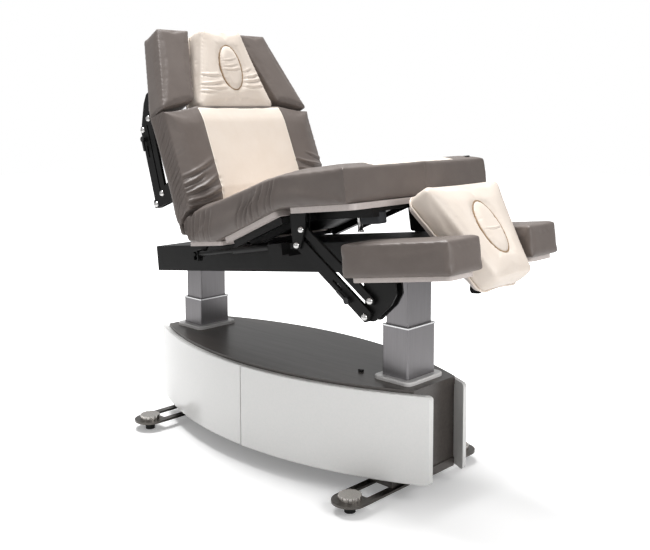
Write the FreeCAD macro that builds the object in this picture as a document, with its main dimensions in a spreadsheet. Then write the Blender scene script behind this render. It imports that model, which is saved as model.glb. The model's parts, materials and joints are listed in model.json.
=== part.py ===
# Electric treatment table: cabinet base, two lifting columns and an upholstered top in sections.
# Millimetres, +X to the foot end, +Y to the far long side, +Z up.
# The origin is on the floor, midway between the two columns.
# Each section of the top is drawn level, in a frame that starts at its hinge, and is then turned
# to the angle at which it rests. Pieces of the far side are mirror images of the near side.
import FreeCAD
import Part
import Sketcher
import math
import os
import re

SIZES = {
    # Stance
    "deck_tilt": 6.81,
    "column_setback": 116,
    # Clearances
    "running_gap": 0.05,
    "side_gap": 1,
    "soft_gap": 0.5,
    "fold_gap": 0.8,
    # Cabinet base
    "base_half_length": 677,
    "base_end_half_width": 115,
    "base_mid_half_width": 274,
    "base_top": 388,
    "base_bottom": 65,
    "base_top_panel": 28,
    "base_bottom_panel": 30,
    "end_panel": 18,
    "end_recess": 5,
    "partition": 18,
    "partition_setback": 1,
    "plinth_length": 290,
    "plinth_width": 100,
    # Doors and their hinge arms
    "door_thickness": 18,
    "door_gap": 0.5,
    "door_half_length": 735,
    "door_top_drop": 11,
    "door_bottom_rise": 7,
    "door_seam": 3,
    "door_corner": 14,
    "door_edge": 4,
    "hinge_arm_length": 48,
    "hinge_arm_depth": 16,
    "hinge_arm_height": 40,
    "hinge_arm_inset": 15,
    # Foot bars and levelling feet
    "foot_bar_length": 730,
    "foot_bar_width": 125,
    "foot_bar_thickness": 8,
    "foot_bar_top": 42,
    "foot_bar_end": 61,
    "foot_slot_width": 67,
    "foot_slot_inner": 95,
    "foot_slot_outer": 256,
    "foot_slot_corner": 6,
    "foot_screw_offset": 303,
    "foot_disc_radius": 40,
    "foot_disc_height": 17,
    "foot_disc_gap": 0.2,
    "foot_scallop_radius": 7,
    "foot_scallop_depth": 3,
    "foot_scallops": 12,
    "foot_stem_radius": 8,
    "foot_pad_radius": 19,
    "foot_pad_height": 24,
    # Lifting columns
    "flange_length": 164,
    "flange_width": 201,
    "flange_height": 13,
    "flange_corner": 24,
    "flange_edge": 5,
    "housing_wall": 10,
    "panel_hole_gap": 1,
    "middle_length_x": 114,
    "middle_width_y": 151,
    "middle_height": 300,
    "middle_top": 513,
    "stage_wall": 8,
    "stage_gap": 0.3,
    "stage_corner": 6,
    "rim_height": 7,
    "rim_overhang": 2,
    "inner_height": 330,
    "inner_wall": 6,
    "inner_cap": 12,
    # Pivots between columns and beam
    "pivot_below_beam_top": 70,
    "pivot_pin_radius": 12,
    "pivot_block_radius": 24,
    "pivot_block_half_width": 40,
    "pivot_block_height": 38,
    "pivot_slot_travel": 10,
    "pivot_slot_gap": 1,
    # Main beam with its cross rails
    "beam_overhang": 107.5,
    "beam_depth": 104,
    "beam_top": 810,
    "beam_half_width": 175,
    "beam_wall": 4,
    "cross_rail_width": 30,
    "cross_rail_height": 15,
    "cross_rail_half_width": 235,
    "rear_rail_place": 80,
    "front_rail_place": 62,
    # Hinge lugs
    "lug_inner": 188,
    "lug_thickness": 15,
    "rail_width": 30,
    "hinge_pin_radius": 6,
    "section_eye": 10,
    "back_eye": 14,
    # Fixed seat plate
    "plate_rear": 100,
    "plate_thickness": 15,
    "plate_above_hinge": 2,
    "plate_half_width": 365,
    "plate_corner": 12,
    # Thigh section
    "thigh_hinge_along": 97,
    "thigh_angle": 16.85,
    "thigh_length": 337,
    "thigh_board_end": 307,
    "thigh_board_top": 10.4,
    "board_thickness": 18,
    "tray_half_width": 340,
    "tray_start": 30,
    "tray_end": 300,
    "tray_wall": 4,
    "tray_depth": 26,
    # Front section
    "front_board_start": 36,
    "front_board_end": 330,
    "front_board_top": 11.3,
    "front_board_thickness": 20,
    "front_board_half_width": 370,
    "front_rail_depth": 30,
    "front_bar_depth": 14,
    "front_bar_end": 318,
    # Back section
    "back_hinge_along": 151,
    "back_hinge_below_thigh_hinge": 6,
    "back_angle": 74.2,
    "back_board_start": 30,
    "back_board_end": 478,
    "back_board_bottom": 12,
    "back_rail_end": 460,
    "back_rail_bottom": 28,
    "back_bar_bottom": 12,
    "back_low_bar": 120,
    "back_high_bar": 430,
    "lever_radius": 60,
    "lever_angle": 37,
    "lever_sag": 12,
    "lever_plate": 10,
    "lever_eye": 14,
    # Actuator that raises the back
    "actuator_offset": 265,
    "anchor_along": 300,
    "anchor_above_beam": 2,
    "anchor_eye": 12,
    "anchor_bar_below_beam": 18,
    "anchor_bar_height": 20,
    "actuator_tube_radius": 16.5,
    "actuator_bore_radius": 10,
    "actuator_tube_length": 260,
    "gearbox_length": 60,
    "gearbox_top": 8,
    "gearbox_bottom": 34,
    "actuator_rod_radius": 9,
    "actuator_rod_hidden": 180,
    "actuator_eye": 16,
    "actuator_eye_gap": 4,
    "actuator_eye_width": 24,
    # Upholstery
    "seat_half_width": 393,
    "panel_half_width": 216,
    "seat_rear_bottom": 112,
    "seat_rear_height": 117,
    "seat_fold_height": 142.4,
    "thigh_rear_height": 134,
    "thigh_front_height": 113,
    "front_rear_height": 113,
    "front_front_height": 119,
    "front_corner": 322,
    "front_bow": 26,
    "back_top_corner": 484,
    "back_top_bow": 28,
    "back_low_end": 28,
    "back_thickness": 100,
    "cushion_corner": 16,
    "cushion_draw_in": 3,
    "cushion_tuck": 7,
    "cushion_edge": 5,
    "cushion_crown": 8,
    "cushion_crown_inset": 70,
    # Parallelogram arms of the leg rests and head wings
    "arm_inner": 310,
    "arm_thickness": 12,
    "bracket_plate": 6,
    "bolt_radius": 6,
    "bolt_head_radius": 11,
    "bolt_head_height": 6,
    "pivot_step_along": 28,
    "pivot_step_down": 52,
    "main_arm_low": 14,
    "main_arm_high": 30,
    "link_arm_low": 12,
    "link_arm_high": 16,
    "arm_end": 16,
    "arm_corner": 11,
    "arm_slot_start": 190,
    "arm_slot_length": 48,
    "arm_slot_width": 9,
    "leg_pivot_along": 47.5,
    "leg_pivot_down": 65.7,
    "leg_arm_length": 359,
    "leg_arm_drop": 40.3,
    "wing_pivot_along": 231.7,
    "wing_pivot_down": 85,
    "wing_arm_length": 306,
    "wing_arm_rise": 4.9,
    "wing_tilt_back": 5.8,
    "bracket_heel": 46,
    "bracket_toe": 30,
    "bracket_tail": 15,
    # Leg rests and head wings
    "rest_board_rise": 62,
    "rest_board_thickness": 15,
    "rest_board_inset": 18,
    "rest_board_corner": 22,
    "rest_thickness": 100,
    "rest_plate_step": 32,
    "rest_plate_toe": 100,
    "rest_plate_corner": 14,
    "leg_rest_start": 55,
    "leg_rest_length": 370,
    "leg_outer_near": 385,
    "leg_outer_far": 308,
    "leg_inner_near": 230,
    "leg_inner_far": 138,
    "wing_start": 53,
    "wing_length": 364,
    "wing_slant": 37,
    "leg_slant": 0,
    "wing_outer_near": 384,
    "wing_outer_far": 285,
    "wing_inner_near": 219,
    "wing_inner_far": 125,
    # Clamp levers
    "clamp_along_leg": 279,
    "clamp_along_wing": 268,
    "clamp_hub_radius": 11,
    "clamp_hub_length": 14,
    "clamp_gap": 0.3,
    "clamp_handle_length": 50,
    "clamp_handle_width": 10,
    "clamp_handle_thickness": 7,
    # Centre cushions at head and foot
    "centre_lug_inner": 60,
    "centre_lug_thickness": 14,
    "centre_eye": 12,
    "leaf_start": 20,
    "leaf_end": 60,
    "foot_centre_pivot_along": 350.5,
    "foot_centre_pivot_down": 13.7,
    "foot_centre_drop": 59.7,
    "foot_centre_start": 16,
    "foot_centre_board": 38,
    "foot_centre_near": 205,
    "foot_centre_far": 101,
    "head_centre_pivot_along": 514,
    "head_centre_pivot_down": 14,
    "head_centre_lean": 3.6,
    "head_centre_start": 6,
    "head_centre_board": 28,
    "head_centre_near": 199,
    "head_centre_far": 102,
    "centre_length_foot": 347,
    "centre_length_head": 337,
    "centre_board_thickness": 13,
    "centre_board_inset": 12,
    "centre_thickness": 97,
    "oval_half_width": 55,
    "oval_half_length": 96,
    "oval_gap": 1,
    "oval_lip": 9,
    "plug_crown": 4,
    "plug_crown_inset": 22,
}

# Sizes that follow from the ones above
DERIVED = {
    "column_spacing": "(2 * (base_half_length - column_setback))",
    "pivot_level": "(beam_top - pivot_below_beam_top)",
    "head_pivot_along": "((-column_spacing / 2 + pivot_level * sin(deck_tilt)) / cos(deck_tilt))",
    "foot_pivot_along": "((column_spacing / 2 + pivot_level * sin(deck_tilt)) / cos(deck_tilt))",
    "beam_head_end": "(beam_overhang - head_pivot_along)",
    "beam_foot_end": "(beam_overhang + foot_pivot_along)",
    "beam_bottom": "(beam_top - beam_depth)",
    "plate_low": "(beam_top + cross_rail_height)",
    "plate_high": "(plate_low + plate_thickness)",
    "thigh_hinge_level": "(plate_high - plate_above_hinge)",
    "back_hinge_level": "(thigh_hinge_level - back_hinge_below_thigh_hinge)",
    "anchor_level": "(beam_top + anchor_above_beam)",
    "anchor_bar_top": "(beam_top - anchor_bar_below_beam)",
}

doc = FreeCAD.newDocument("TreatmentTable")
sheet = doc.addObject("Spreadsheet::Sheet", "Sizes")
for row, (size_name, size_value) in enumerate(SIZES.items(), start=1):
    sheet.set(f"A{row}", size_name)
    sheet.set(f"B{row}", str(size_value))
    sheet.setAlias(f"B{row}", size_name)
doc.recompute()

Vector = FreeCAD.Vector
X_AXIS = Vector(1, 0, 0)
Y_AXIS = Vector(0, 1, 0)
Z_AXIS = Vector(0, 0, 1)
sub_parts = []


WORD = re.compile(r"[A-Za-z_]\w*")


def spelled_out(expression):
    """The expression with each derived size written out in sheet sizes."""
    text = str(expression)
    while any(word in DERIVED for word in WORD.findall(text)):
        text = WORD.sub(lambda match: DERIVED.get(match.group(), match.group()), text)
    return text


def size(expression):
    """The number that an expression of sizes has now."""
    return float(sheet.evalExpression(spelled_out(expression)))


def linked(expression):
    """The expression with each size written as a reference to its sheet cell."""
    def refer(match):
        word = match.group()
        return f"Sizes.{word}" if word in SIZES else word
    return WORD.sub(refer, spelled_out(expression))


class Frame:
    """A place in the XZ plane and a turn about +Y, in degrees, which lowers the +X end."""

    def __init__(self, along=0.0, level=0.0, turn=0.0):
        self.along = along
        self.level = level
        self.turn = turn

    def step(self, along, level, turn=0):
        """A frame at a point of this one, turned further."""
        angle = math.radians(self.turn)
        step_along = size(along)
        step_level = size(level)
        return Frame(
            self.along + step_along * math.cos(angle) + step_level * math.sin(angle),
            self.level - step_along * math.sin(angle) + step_level * math.cos(angle),
            self.turn + size(turn),
        )

    def placement(self):
        return FreeCAD.Placement(Vector(self.along, 0, self.level), FreeCAD.Rotation(Y_AXIS, self.turn))


# Frames of the moving sections, at the angles at which they rest
FLOOR = Frame()
DECK = FLOOR.step(0, 0, "-deck_tilt")
THIGH = DECK.step("thigh_hinge_along", "thigh_hinge_level", "-thigh_angle")
FRONT = THIGH.step("thigh_length", 0, "thigh_angle")
BACK = DECK.step("-back_hinge_along", "back_hinge_level", "back_angle")
LEG_PIVOT = FRONT.step("leg_pivot_along", "-leg_pivot_down")
LEG_ARM = LEG_PIVOT.step(0, 0, "leg_arm_drop")
LEG_REST = LEG_ARM.step("leg_arm_length", 0, "-leg_arm_drop")
WING_PIVOT = BACK.step("-wing_pivot_along", "-wing_pivot_down")
WING_ARM = WING_PIVOT.step(0, 0, "wing_arm_rise")
WING_REST = WING_ARM.step("-wing_arm_length", 0, "-wing_arm_rise - wing_tilt_back")
FOOT_CENTRE = FRONT.step("foot_centre_pivot_along", "-foot_centre_pivot_down", "foot_centre_drop")
HEAD_CENTRE = BACK.step("-head_centre_pivot_along", "-head_centre_pivot_down", "head_centre_lean")


def unique(name):
    """A document name that no object has yet."""
    count = 1
    while doc.getObject(f"{name}_{count}"):
        count += 1
    return f"{name}_{count}"


def keep(node, label):
    """Mark an object as a finished sub-part, whose label names its file."""
    node.Label = label
    sub_parts.append(node)
    return node


def add_loop(sketch, points):
    """A closed outline of straight lines, each corner held by two driven distances."""
    first = sketch.GeometryCount
    places = [Vector(size(x), size(y), 0) for x, y in points]
    count = len(points)
    for index in range(count):
        sketch.addGeometry(Part.LineSegment(places[index], places[(index + 1) % count]), False)
    for index in range(count):
        following = first + (index + 1) % count
        sketch.addConstraint(Sketcher.Constraint("Coincident", first + index, 2, following, 1))
    for index, (x, y) in enumerate(points):
        hold_point(sketch, first + index, 1, x, y, places[index])


def hold_point(sketch, geometry, end, x, y, place):
    """Drive a point of a sketch from the sheet, along both sketch axes."""
    for kind, expression, value, axis in (("DistanceX", x, place.x, -2), ("DistanceY", y, place.y, -1)):
        if str(expression) == "0":
            sketch.addConstraint(Sketcher.Constraint("PointOnObject", geometry, end, axis))
            continue
        number = sketch.addConstraint(Sketcher.Constraint(kind, -1, 1, geometry, end, value))
        sketch.setExpression(f"Constraints[{number}]", linked(expression))


def add_circle(sketch, x, y, radius):
    """A round hole or disc in a sketch, driven from the sheet."""
    place = Vector(size(x), size(y), 0)
    number = sketch.addGeometry(Part.Circle(place, Z_AXIS, size(radius)), False)
    hold_point(sketch, number, 3, x, y, place)
    rule = sketch.addConstraint(Sketcher.Constraint("Radius", number, size(radius)))
    sketch.setExpression(f"Constraints[{rule}]", linked(radius))


def add_sketch(body, plane, start, loops=(), circles=()):
    """A sketch on one of the body's own origin planes, moved along the plane's normal by start."""
    sketch = body.newObject("Sketcher::SketchObject", unique(body.Name + "_outline"))
    support = next(item for item in body.Origin.OriginFeatures if item.Role == plane)
    sketch.AttachmentSupport = [(support, "")]
    sketch.MapMode = "FlatFace"
    sketch.setExpression("AttachmentOffset.Base.z", linked(start))
    for points in loops:
        add_loop(sketch, points)
    for circle in circles:
        add_circle(sketch, *circle)
    return sketch


def pad(name, frame, plane, start, depth, loops=(), circles=()):
    """A body with one padded outline. On XZ_Plane, start and depth run towards the near side, -Y."""
    body = doc.addObject("PartDesign::Body", unique(name))
    body.Placement = frame.placement()
    sketch = add_sketch(body, plane, start, loops, circles)
    feature = body.newObject("PartDesign::Pad", unique(name + "_pad"))
    feature.Profile = sketch
    feature.setExpression("Length", linked(depth))
    return body


def pocket(body, plane, start, depth, loops=(), circles=(), upwards=False):
    """Cut an outline out of a body, and make sure that it took material away."""
    doc.recompute()
    before = body.Shape.Volume
    sketch = add_sketch(body, plane, start, loops, circles)
    feature = body.newObject("PartDesign::Pocket", unique(body.Name + "_pocket"))
    feature.Profile = sketch
    feature.setExpression("Length", linked(depth))
    feature.Reversed = upwards
    doc.recompute()
    if body.Shape.Volume >= before:
        raise ValueError(f"{body.Name}: the pocket cut nothing")
    return feature


def round_edges(body, radius, axis, chosen=None):
    """Fillet the body's straight edges along one of its own axes, all or those that chosen accepts."""
    doc.recompute()
    base = body.Tip
    names = []
    for number, edge in enumerate(base.Shape.Edges, start=1):
        if edge.Curve.TypeId != "Part::GeomLine":
            continue
        if abs(abs(edge.Curve.Direction.dot(axis)) - 1) > 1e-6:
            continue
        if chosen is None or chosen(edge.CenterOfMass):
            names.append(f"Edge{number}")
    fillet = body.newObject("PartDesign::Fillet", unique(body.Name + "_fillet"))
    fillet.Base = (base, names)
    fillet.setExpression("Radius", linked(radius))
    doc.recompute()
    return body


def rectangle(left, right, low, high):
    """Corners of an upright rectangle, as pairs of expressions."""
    return [(left, low), (right, low), (right, high), (left, high)]


def box(name, left, right, near, far, low, high, frame=FLOOR):
    """A block between six planes of a frame."""
    block = doc.addObject("Part::Box", unique(name))
    block.setExpression("Length", linked(f"({right}) - ({left})"))
    block.setExpression("Width", linked(f"({far}) - ({near})"))
    block.setExpression("Height", linked(f"({high}) - ({low})"))
    corner = FreeCAD.Placement(Vector(size(left), size(near), size(low)), FreeCAD.Rotation())
    block.Placement = frame.placement().multiply(corner)
    return block


def rod(name, frame, along, level, near, far, radius):
    """A round bar along Y, from near to far."""
    bar = doc.addObject("Part::Cylinder", unique(name))
    bar.setExpression("Radius", linked(radius))
    bar.setExpression("Height", linked(f"({far}) - ({near})"))
    place = Vector(size(along), size(near), size(level))
    turned = FreeCAD.Placement(place, FreeCAD.Rotation(X_AXIS, -90))
    bar.Placement = frame.placement().multiply(turned)
    return bar


def post(name, along, across, low, high, radius):
    """A round bar along Z."""
    bar = doc.addObject("Part::Cylinder", unique(name))
    bar.setExpression("Radius", linked(radius))
    bar.setExpression("Height", linked(f"({high}) - ({low})"))
    bar.Placement = FreeCAD.Placement(Vector(size(along), size(across), size(low)), FreeCAD.Rotation())
    return bar


def fuse(name, pieces):
    whole = doc.addObject("Part::MultiFuse", unique(name))
    whole.Shapes = pieces
    return whole


def common(name, pieces):
    shared = doc.addObject("Part::MultiCommon", unique(name))
    shared.Shapes = pieces
    return shared


def cut(name, base, tool):
    rest = doc.addObject("Part::Cut", unique(name))
    rest.Base = base
    rest.Tool = tool
    return rest


def group(name, pieces):
    """Separate solids that share one node."""
    together = doc.addObject("Part::Compound", unique(name))
    together.Links = pieces
    return together


def mirrored(name, source, normal=Y_AXIS):
    """The same piece on the other side of the plane through the origin."""
    copy = doc.addObject("Part::Mirroring", unique(name))
    copy.Source = source
    copy.Normal = normal
    return copy


def both_sides(name, piece):
    return [piece, mirrored(name, piece)]


# Cabinet base: boat-shaped panels between two long arcs
BOW = "(base_mid_half_width - base_end_half_width)"
SIDE_RADIUS = f"((base_half_length^2 + {BOW}^2) / (2 * {BOW}))"
PANEL_LOW = "(base_bottom + base_bottom_panel)"
PANEL_HIGH = "(base_top - base_top_panel)"


def side_arc(name, side, extra, low, high):
    """The upright cylinder whose wall is one long side of the cabinet, grown by extra."""
    wall = post(name, 0, f"{side} * ({SIDE_RADIUS} - base_mid_half_width)", low, high,
                f"{SIDE_RADIUS} + {extra}")
    return wall


def boat_panel(name, left, right, low, high):
    """The part of the boat-shaped plan between two cross planes."""
    block = box(name + "_block", left, right, "-base_mid_half_width", "base_mid_half_width", low, high)
    arcs = [side_arc(name + "_arc", side, 0, low, high) for side in (1, -1)]
    return common(name, [block] + arcs)


def column_place(end):
    return f"{end} * column_spacing / 2"


HOUSING_X = "(middle_length_x / 2 + stage_gap + housing_wall)"
HOUSING_Y = "(middle_width_y / 2 + stage_gap + housing_wall)"


def build_base():
    top = boat_panel("top_panel", "-base_half_length", "base_half_length", PANEL_HIGH, "base_top")
    holes = []
    for end in (-1, 1):
        centre = column_place(end)
        reach = f"({HOUSING_X} + panel_hole_gap)"
        width = f"({HOUSING_Y} + panel_hole_gap)"
        holes.append(box("column_hole", f"{centre} - {reach}", f"{centre} + {reach}",
                         f"-{width}", width, PANEL_HIGH, "base_top"))
    keep(cut("base_top_panel", top, group("column_holes", holes)), "base_top_panel")

    panels = [boat_panel("bottom_panel", "-base_half_length", "base_half_length", "base_bottom", PANEL_LOW)]
    end_outer = "(base_half_length - end_recess)"
    panels.append(boat_panel("end_panel", f"{end_outer} - end_panel", end_outer, PANEL_LOW, PANEL_HIGH))
    panels.append(boat_panel("end_panel", f"-{end_outer}", f"-{end_outer} + end_panel", PANEL_LOW,
                             PANEL_HIGH))
    reach = "(base_mid_half_width - partition_setback)"
    panels.append(box("partition", "-partition / 2", "partition / 2", f"-{reach}", reach, PANEL_LOW,
                      PANEL_HIGH))
    for end in (-1, 1):
        centre = column_place(end)
        panels.append(box("plinth", f"{centre} - plinth_width / 2", f"{centre} + plinth_width / 2",
                          "-plinth_length / 2", "plinth_length / 2", "foot_bar_top", "base_bottom"))
    panels += build_hinge_arms()
    keep(group("base_carcass", panels), "base_carcass")


def build_hinge_arms():
    """Arms from the partition that carry the doors, two for each door."""
    arms = []
    outer = "(base_mid_half_width - partition_setback)"
    lows = (f"{PANEL_LOW} + hinge_arm_inset", f"{PANEL_HIGH} - hinge_arm_inset - hinge_arm_height")
    for low in lows:
        arm = box("hinge_arm", "partition / 2", "partition / 2 + hinge_arm_length",
                  f"-{outer}", f"-{outer} + hinge_arm_depth", low, f"{low} + hinge_arm_height")
        pair = both_sides("hinge_arm", arm)
        arms += pair + [mirrored("hinge_arm", item, X_AXIS) for item in pair]
    return arms


def build_doors():
    """One curved door at the near foot corner, and its three mirror images."""
    low = "base_bottom + door_bottom_rise"
    high = "base_top - door_top_drop"
    outer = side_arc("door_outer", 1, "door_gap + door_thickness", low, high)
    inner = side_arc("door_inner", 1, "door_gap", low, high)
    block = box("door_block", "door_seam / 2", "door_half_length",
                "-base_mid_half_width - door_gap - door_thickness", 0, low, high)
    slab = cut("door_slab", common("door_front", [block, outer]), inner)
    doc.recompute()
    rounded = fillet_shape("door_corners", slab, "door_corner", free_corner)
    soft = fillet_shape("door", rounded, "door_edge", on_door_front)
    keep(soft, "foot_near_door")
    keep(mirrored("door", soft), "foot_far_door")
    head = mirrored("door", soft, X_AXIS)
    keep(head, "head_near_door")
    keep(mirrored("door", head), "head_far_door")


def free_corner(edge):
    """Short edges through the thickness at the door's free end."""
    middle = edge.CenterOfMass
    level_edge = abs(edge.Vertexes[0].Z - edge.Vertexes[-1].Z) < 1e-3
    return level_edge and edge.Length < 2 * size("door_thickness") and middle.x > size("door_half_length") / 2


def on_door_front(edge):
    """Edges that lie on the door's outer face."""
    radius = size(f"{SIDE_RADIUS} + door_gap + door_thickness")
    centre = Vector(0, size(f"{SIDE_RADIUS} - base_mid_half_width"), 0)
    for share in (0, 0.5, 1):
        spot = edge.valueAt(edge.FirstParameter + share * (edge.LastParameter - edge.FirstParameter))
        if abs(Vector(spot.x, spot.y, 0).sub(centre).Length - radius) > 1e-3:
            return False
    return True


def fillet_shape(name, base, radius, chosen):
    """Round the edges of a solid that chosen accepts."""
    doc.recompute()
    rounded = doc.addObject("Part::Fillet", unique(name))
    rounded.Base = base
    numbers = [number for number, edge in enumerate(base.Shape.Edges, start=1) if chosen(edge)]
    rounded.Edges = [(number, size(radius), size(radius)) for number in numbers]
    doc.recompute()
    return rounded


def build_feet():
    """Slotted floor bars, and a levelling foot through each of their four ends."""
    bars = []
    low = "foot_bar_top - foot_bar_thickness"
    for end in (-1, 1):
        centre = column_place(end)
        half = "foot_bar_width / 2"
        outline = rectangle(f"{centre} - {half}", f"{centre} + {half}", "-foot_bar_length / 2",
                            "foot_bar_length / 2")
        slots = []
        for side in (-1, 1):
            slots.append(rectangle(f"{centre} - foot_slot_width / 2", f"{centre} + foot_slot_width / 2",
                                   f"{side} * foot_slot_inner", f"{side} * foot_slot_outer"))
        holes = [(centre, f"{side} * foot_screw_offset", "foot_stem_radius + running_gap")
                 for side in (-1, 1)]
        bar = pad("foot_bar", FLOOR, "XY_Plane", low, "foot_bar_thickness", [outline] + slots, holes)
        tip = size("foot_bar_length") / 2 - 1
        round_edges(bar, "foot_bar_end", Z_AXIS, lambda place: abs(place.y) > tip)
        round_edges(bar, "foot_slot_corner", Z_AXIS, lambda place: abs(place.y) < tip)
        bars.append(bar)
    keep(group("foot_bars", bars), "foot_bars")
    for end, end_name in ((-1, "head"), (1, "foot")):
        near = levelling_foot(end)
        keep(near, f"{end_name}_near_levelling_foot")
        keep(mirrored("levelling_foot", near), f"{end_name}_far_levelling_foot")


def levelling_foot(end):
    """A scalloped hand disc on a stem, with a rubber pad below."""
    low = "foot_bar_top + foot_disc_gap"
    place = FreeCAD.Placement(Vector(size(column_place(end)), -size("foot_screw_offset"), 0),
                              FreeCAD.Rotation())
    disc = pad("levelling_disc", FLOOR, "XY_Plane", low, "foot_disc_height",
               circles=[(0, 0, "foot_disc_radius")])
    disc.Placement = place
    reach = "foot_disc_radius + foot_scallop_radius - foot_scallop_depth"
    scallop = pocket(disc, "XY_Plane", low, "foot_disc_height", circles=[(reach, 0, "foot_scallop_radius")],
                     upwards=True)
    ring = disc.newObject("PartDesign::PolarPattern", unique("scallop_ring"))
    ring.Originals = [scallop]
    ring.Axis = (next(item for item in disc.Origin.OriginFeatures if item.Role == "Z_Axis"), [""])
    ring.Angle = 360
    ring.setExpression("Occurrences", linked("foot_scallops"))
    disc.Tip = ring
    doc.recompute()
    across = "-foot_screw_offset"
    stem = post("levelling_stem", column_place(end), across, "foot_pad_height", low, "foot_stem_radius")
    rubber = post("rubber_pad", column_place(end), across, 0, "foot_pad_height", "foot_pad_radius")
    return group("levelling_foot", [fuse("levelling_screw", [disc, stem]), rubber])


# Lifting columns: housing with its flange, middle stage and inner stage
FOOT_RISE = "(column_spacing * tan(deck_tilt))"


def tube(name, centre, half_x, half_y, wall, low, high, corner):
    """An upright rectangular tube with rounded outer edges."""
    outer = rectangle(f"{centre} - {half_x}", f"{centre} + {half_x}", f"-{half_y}", half_y)
    inner = rectangle(f"{centre} - {half_x} + {wall}", f"{centre} + {half_x} - {wall}",
                      f"-{half_y} + {wall}", f"{half_y} - {wall}")
    body = pad(name, FLOOR, "XY_Plane", low, f"({high}) - ({low})", [outer, inner])
    edge_y = size(half_y) - 1e-3
    round_edges(body, corner, Z_AXIS, lambda place: abs(place.y) > edge_y)
    return body


def build_columns():
    housings = []
    for end, end_name in ((-1, "head"), (1, "foot")):
        centre = column_place(end)
        rise = f"({FOOT_RISE} * {(end + 1) // 2})"
        housings.append(column_housing(centre))
        middle_top = f"(middle_top + {rise} / 2)"
        keep(middle_stage(centre, middle_top), f"{end_name}_column_middle")
        keep(inner_stage(centre, end, end_name), f"{end_name}_column_inner")
    keep(group("column_housings", housings), "column_housings")


def column_housing(centre):
    """The outer tube inside the cabinet, with a flange that lies on the cabinet's top."""
    shaft = tube("housing", centre, HOUSING_X, HOUSING_Y, "housing_wall", PANEL_LOW, "base_top",
                 "stage_corner")
    half_x = "flange_length / 2"
    half_y = "flange_width / 2"
    bore_x = f"({HOUSING_X} - housing_wall)"
    bore_y = f"({HOUSING_Y} - housing_wall)"
    outer = rectangle(f"{centre} - {half_x}", f"{centre} + {half_x}", f"-{half_y}", half_y)
    bore = rectangle(f"{centre} - {bore_x}", f"{centre} + {bore_x}", f"-{bore_y}", bore_y)
    flange = pad("flange", FLOOR, "XY_Plane", "base_top", "flange_height", [outer, bore])
    edge_y = size(half_y) - 1e-3
    round_edges(flange, "flange_corner", Z_AXIS, lambda place: abs(place.y) > edge_y)
    soften_top(flange, "flange_edge", size("base_top + flange_height"), size(bore_y) + 1)
    return fuse("column_housing", [shaft, flange])


def soften_top(body, radius, level, bore_reach):
    """Round the outer edges of a body's top face, not those of its bore."""
    doc.recompute()
    base = body.Tip
    middle = base.Shape.BoundBox.Center
    names = []
    for number, edge in enumerate(base.Shape.Edges, start=1):
        centre = edge.CenterOfMass
        on_top = all(abs(vertex.Z - level) < 1e-3 for vertex in edge.Vertexes)
        far_out = max(abs(centre.y),
                      abs(centre.x - middle.x) * size("middle_width_y / middle_length_x")) > bore_reach
        if on_top and far_out:
            names.append(f"Edge{number}")
    fillet = body.newObject("PartDesign::Fillet", unique(body.Name + "_soft"))
    fillet.Base = (base, names)
    fillet.setExpression("Radius", linked(radius))
    doc.recompute()


def middle_stage(centre, top):
    low = f"{top} - middle_height"
    stage = tube("middle_stage", centre, "middle_length_x / 2", "middle_width_y / 2", "stage_wall", low, top,
                 "stage_corner")
    rim = tube("middle_rim", centre, "(middle_length_x / 2 + rim_overhang)",
               "(middle_width_y / 2 + rim_overhang)",
               "(rim_overhang + stage_wall)", f"{top} - rim_height", top, "stage_corner")
    return fuse("column_middle", [stage, rim])


def inner_stage(centre, end, end_name):
    """The inner tube with its cap, and the block that the beam's pivot pin passes through."""
    shrink = "(stage_wall + stage_gap)"
    half_x = f"(middle_length_x / 2 - {shrink})"
    half_y = f"(middle_width_y / 2 - {shrink})"
    axis_level = f"({end} * column_spacing / 2 * tan(deck_tilt) + pivot_level / cos(deck_tilt))"
    top = f"({axis_level} - pivot_block_height)"
    stage = tube("inner_stage", centre, half_x, half_y, "inner_wall", f"{top} - inner_height", top,
                 "stage_corner")
    cap = box("column_cap", f"{centre} - {half_x} + inner_wall / 2", f"{centre} + {half_x} - inner_wall / 2",
              f"-{half_y} + inner_wall / 2", f"{half_y} - inner_wall / 2", f"{top} - inner_cap", top)
    radius = f"(pivot_block_radius + pivot_slot_travel * {(end + 1) // 2})"
    outline = rectangle(f"{centre} - {radius}", f"{centre} + {radius}", f"{top} - inner_cap / 2", axis_level)
    block = pad("pivot_block", FLOOR, "XZ_Plane", "-pivot_block_half_width", "2 * pivot_block_half_width",
                [outline])
    crown = rod("pivot_crown", FLOOR, centre, axis_level, "-pivot_block_half_width",
                "pivot_block_half_width", radius)
    whole = fuse("column_inner", [stage, cap, block, crown])
    if end_name == "head":
        bore = rod("pivot_bore", FLOOR, centre, axis_level, "-beam_half_width", "beam_half_width",
                   "pivot_pin_radius + running_gap")
        return cut("head_column_inner", whole, bore)
    reach = "(pivot_pin_radius + pivot_slot_travel)"
    half = "(pivot_pin_radius + pivot_slot_gap)"
    slot = box("pivot_slot", f"{centre} - {reach}", f"{centre} + {reach}", "-beam_half_width",
               "beam_half_width",
               f"{axis_level} - {half}", f"{axis_level} + {half}")
    return cut("foot_column_inner", whole, slot)


# Main beam: an inverted channel with its pivot shafts, cross rails, hinge lugs and actuator bracket
RAIL_INNER = "(lug_inner + lug_thickness + side_gap)"
RAIL_OUTER = f"({RAIL_INNER} + rail_width)"


def eye_bar(name, frame, inner, thickness, outline, along, level, radius):
    """A near-side plate in the XZ plane with a round eye at one point."""
    plate = pad(name, frame, "XZ_Plane", inner, thickness, [outline])
    eye = rod(name + "_eye", frame, along, level, f"-({inner}) - ({thickness})", f"-({inner})", radius)
    return [plate, eye]


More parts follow.
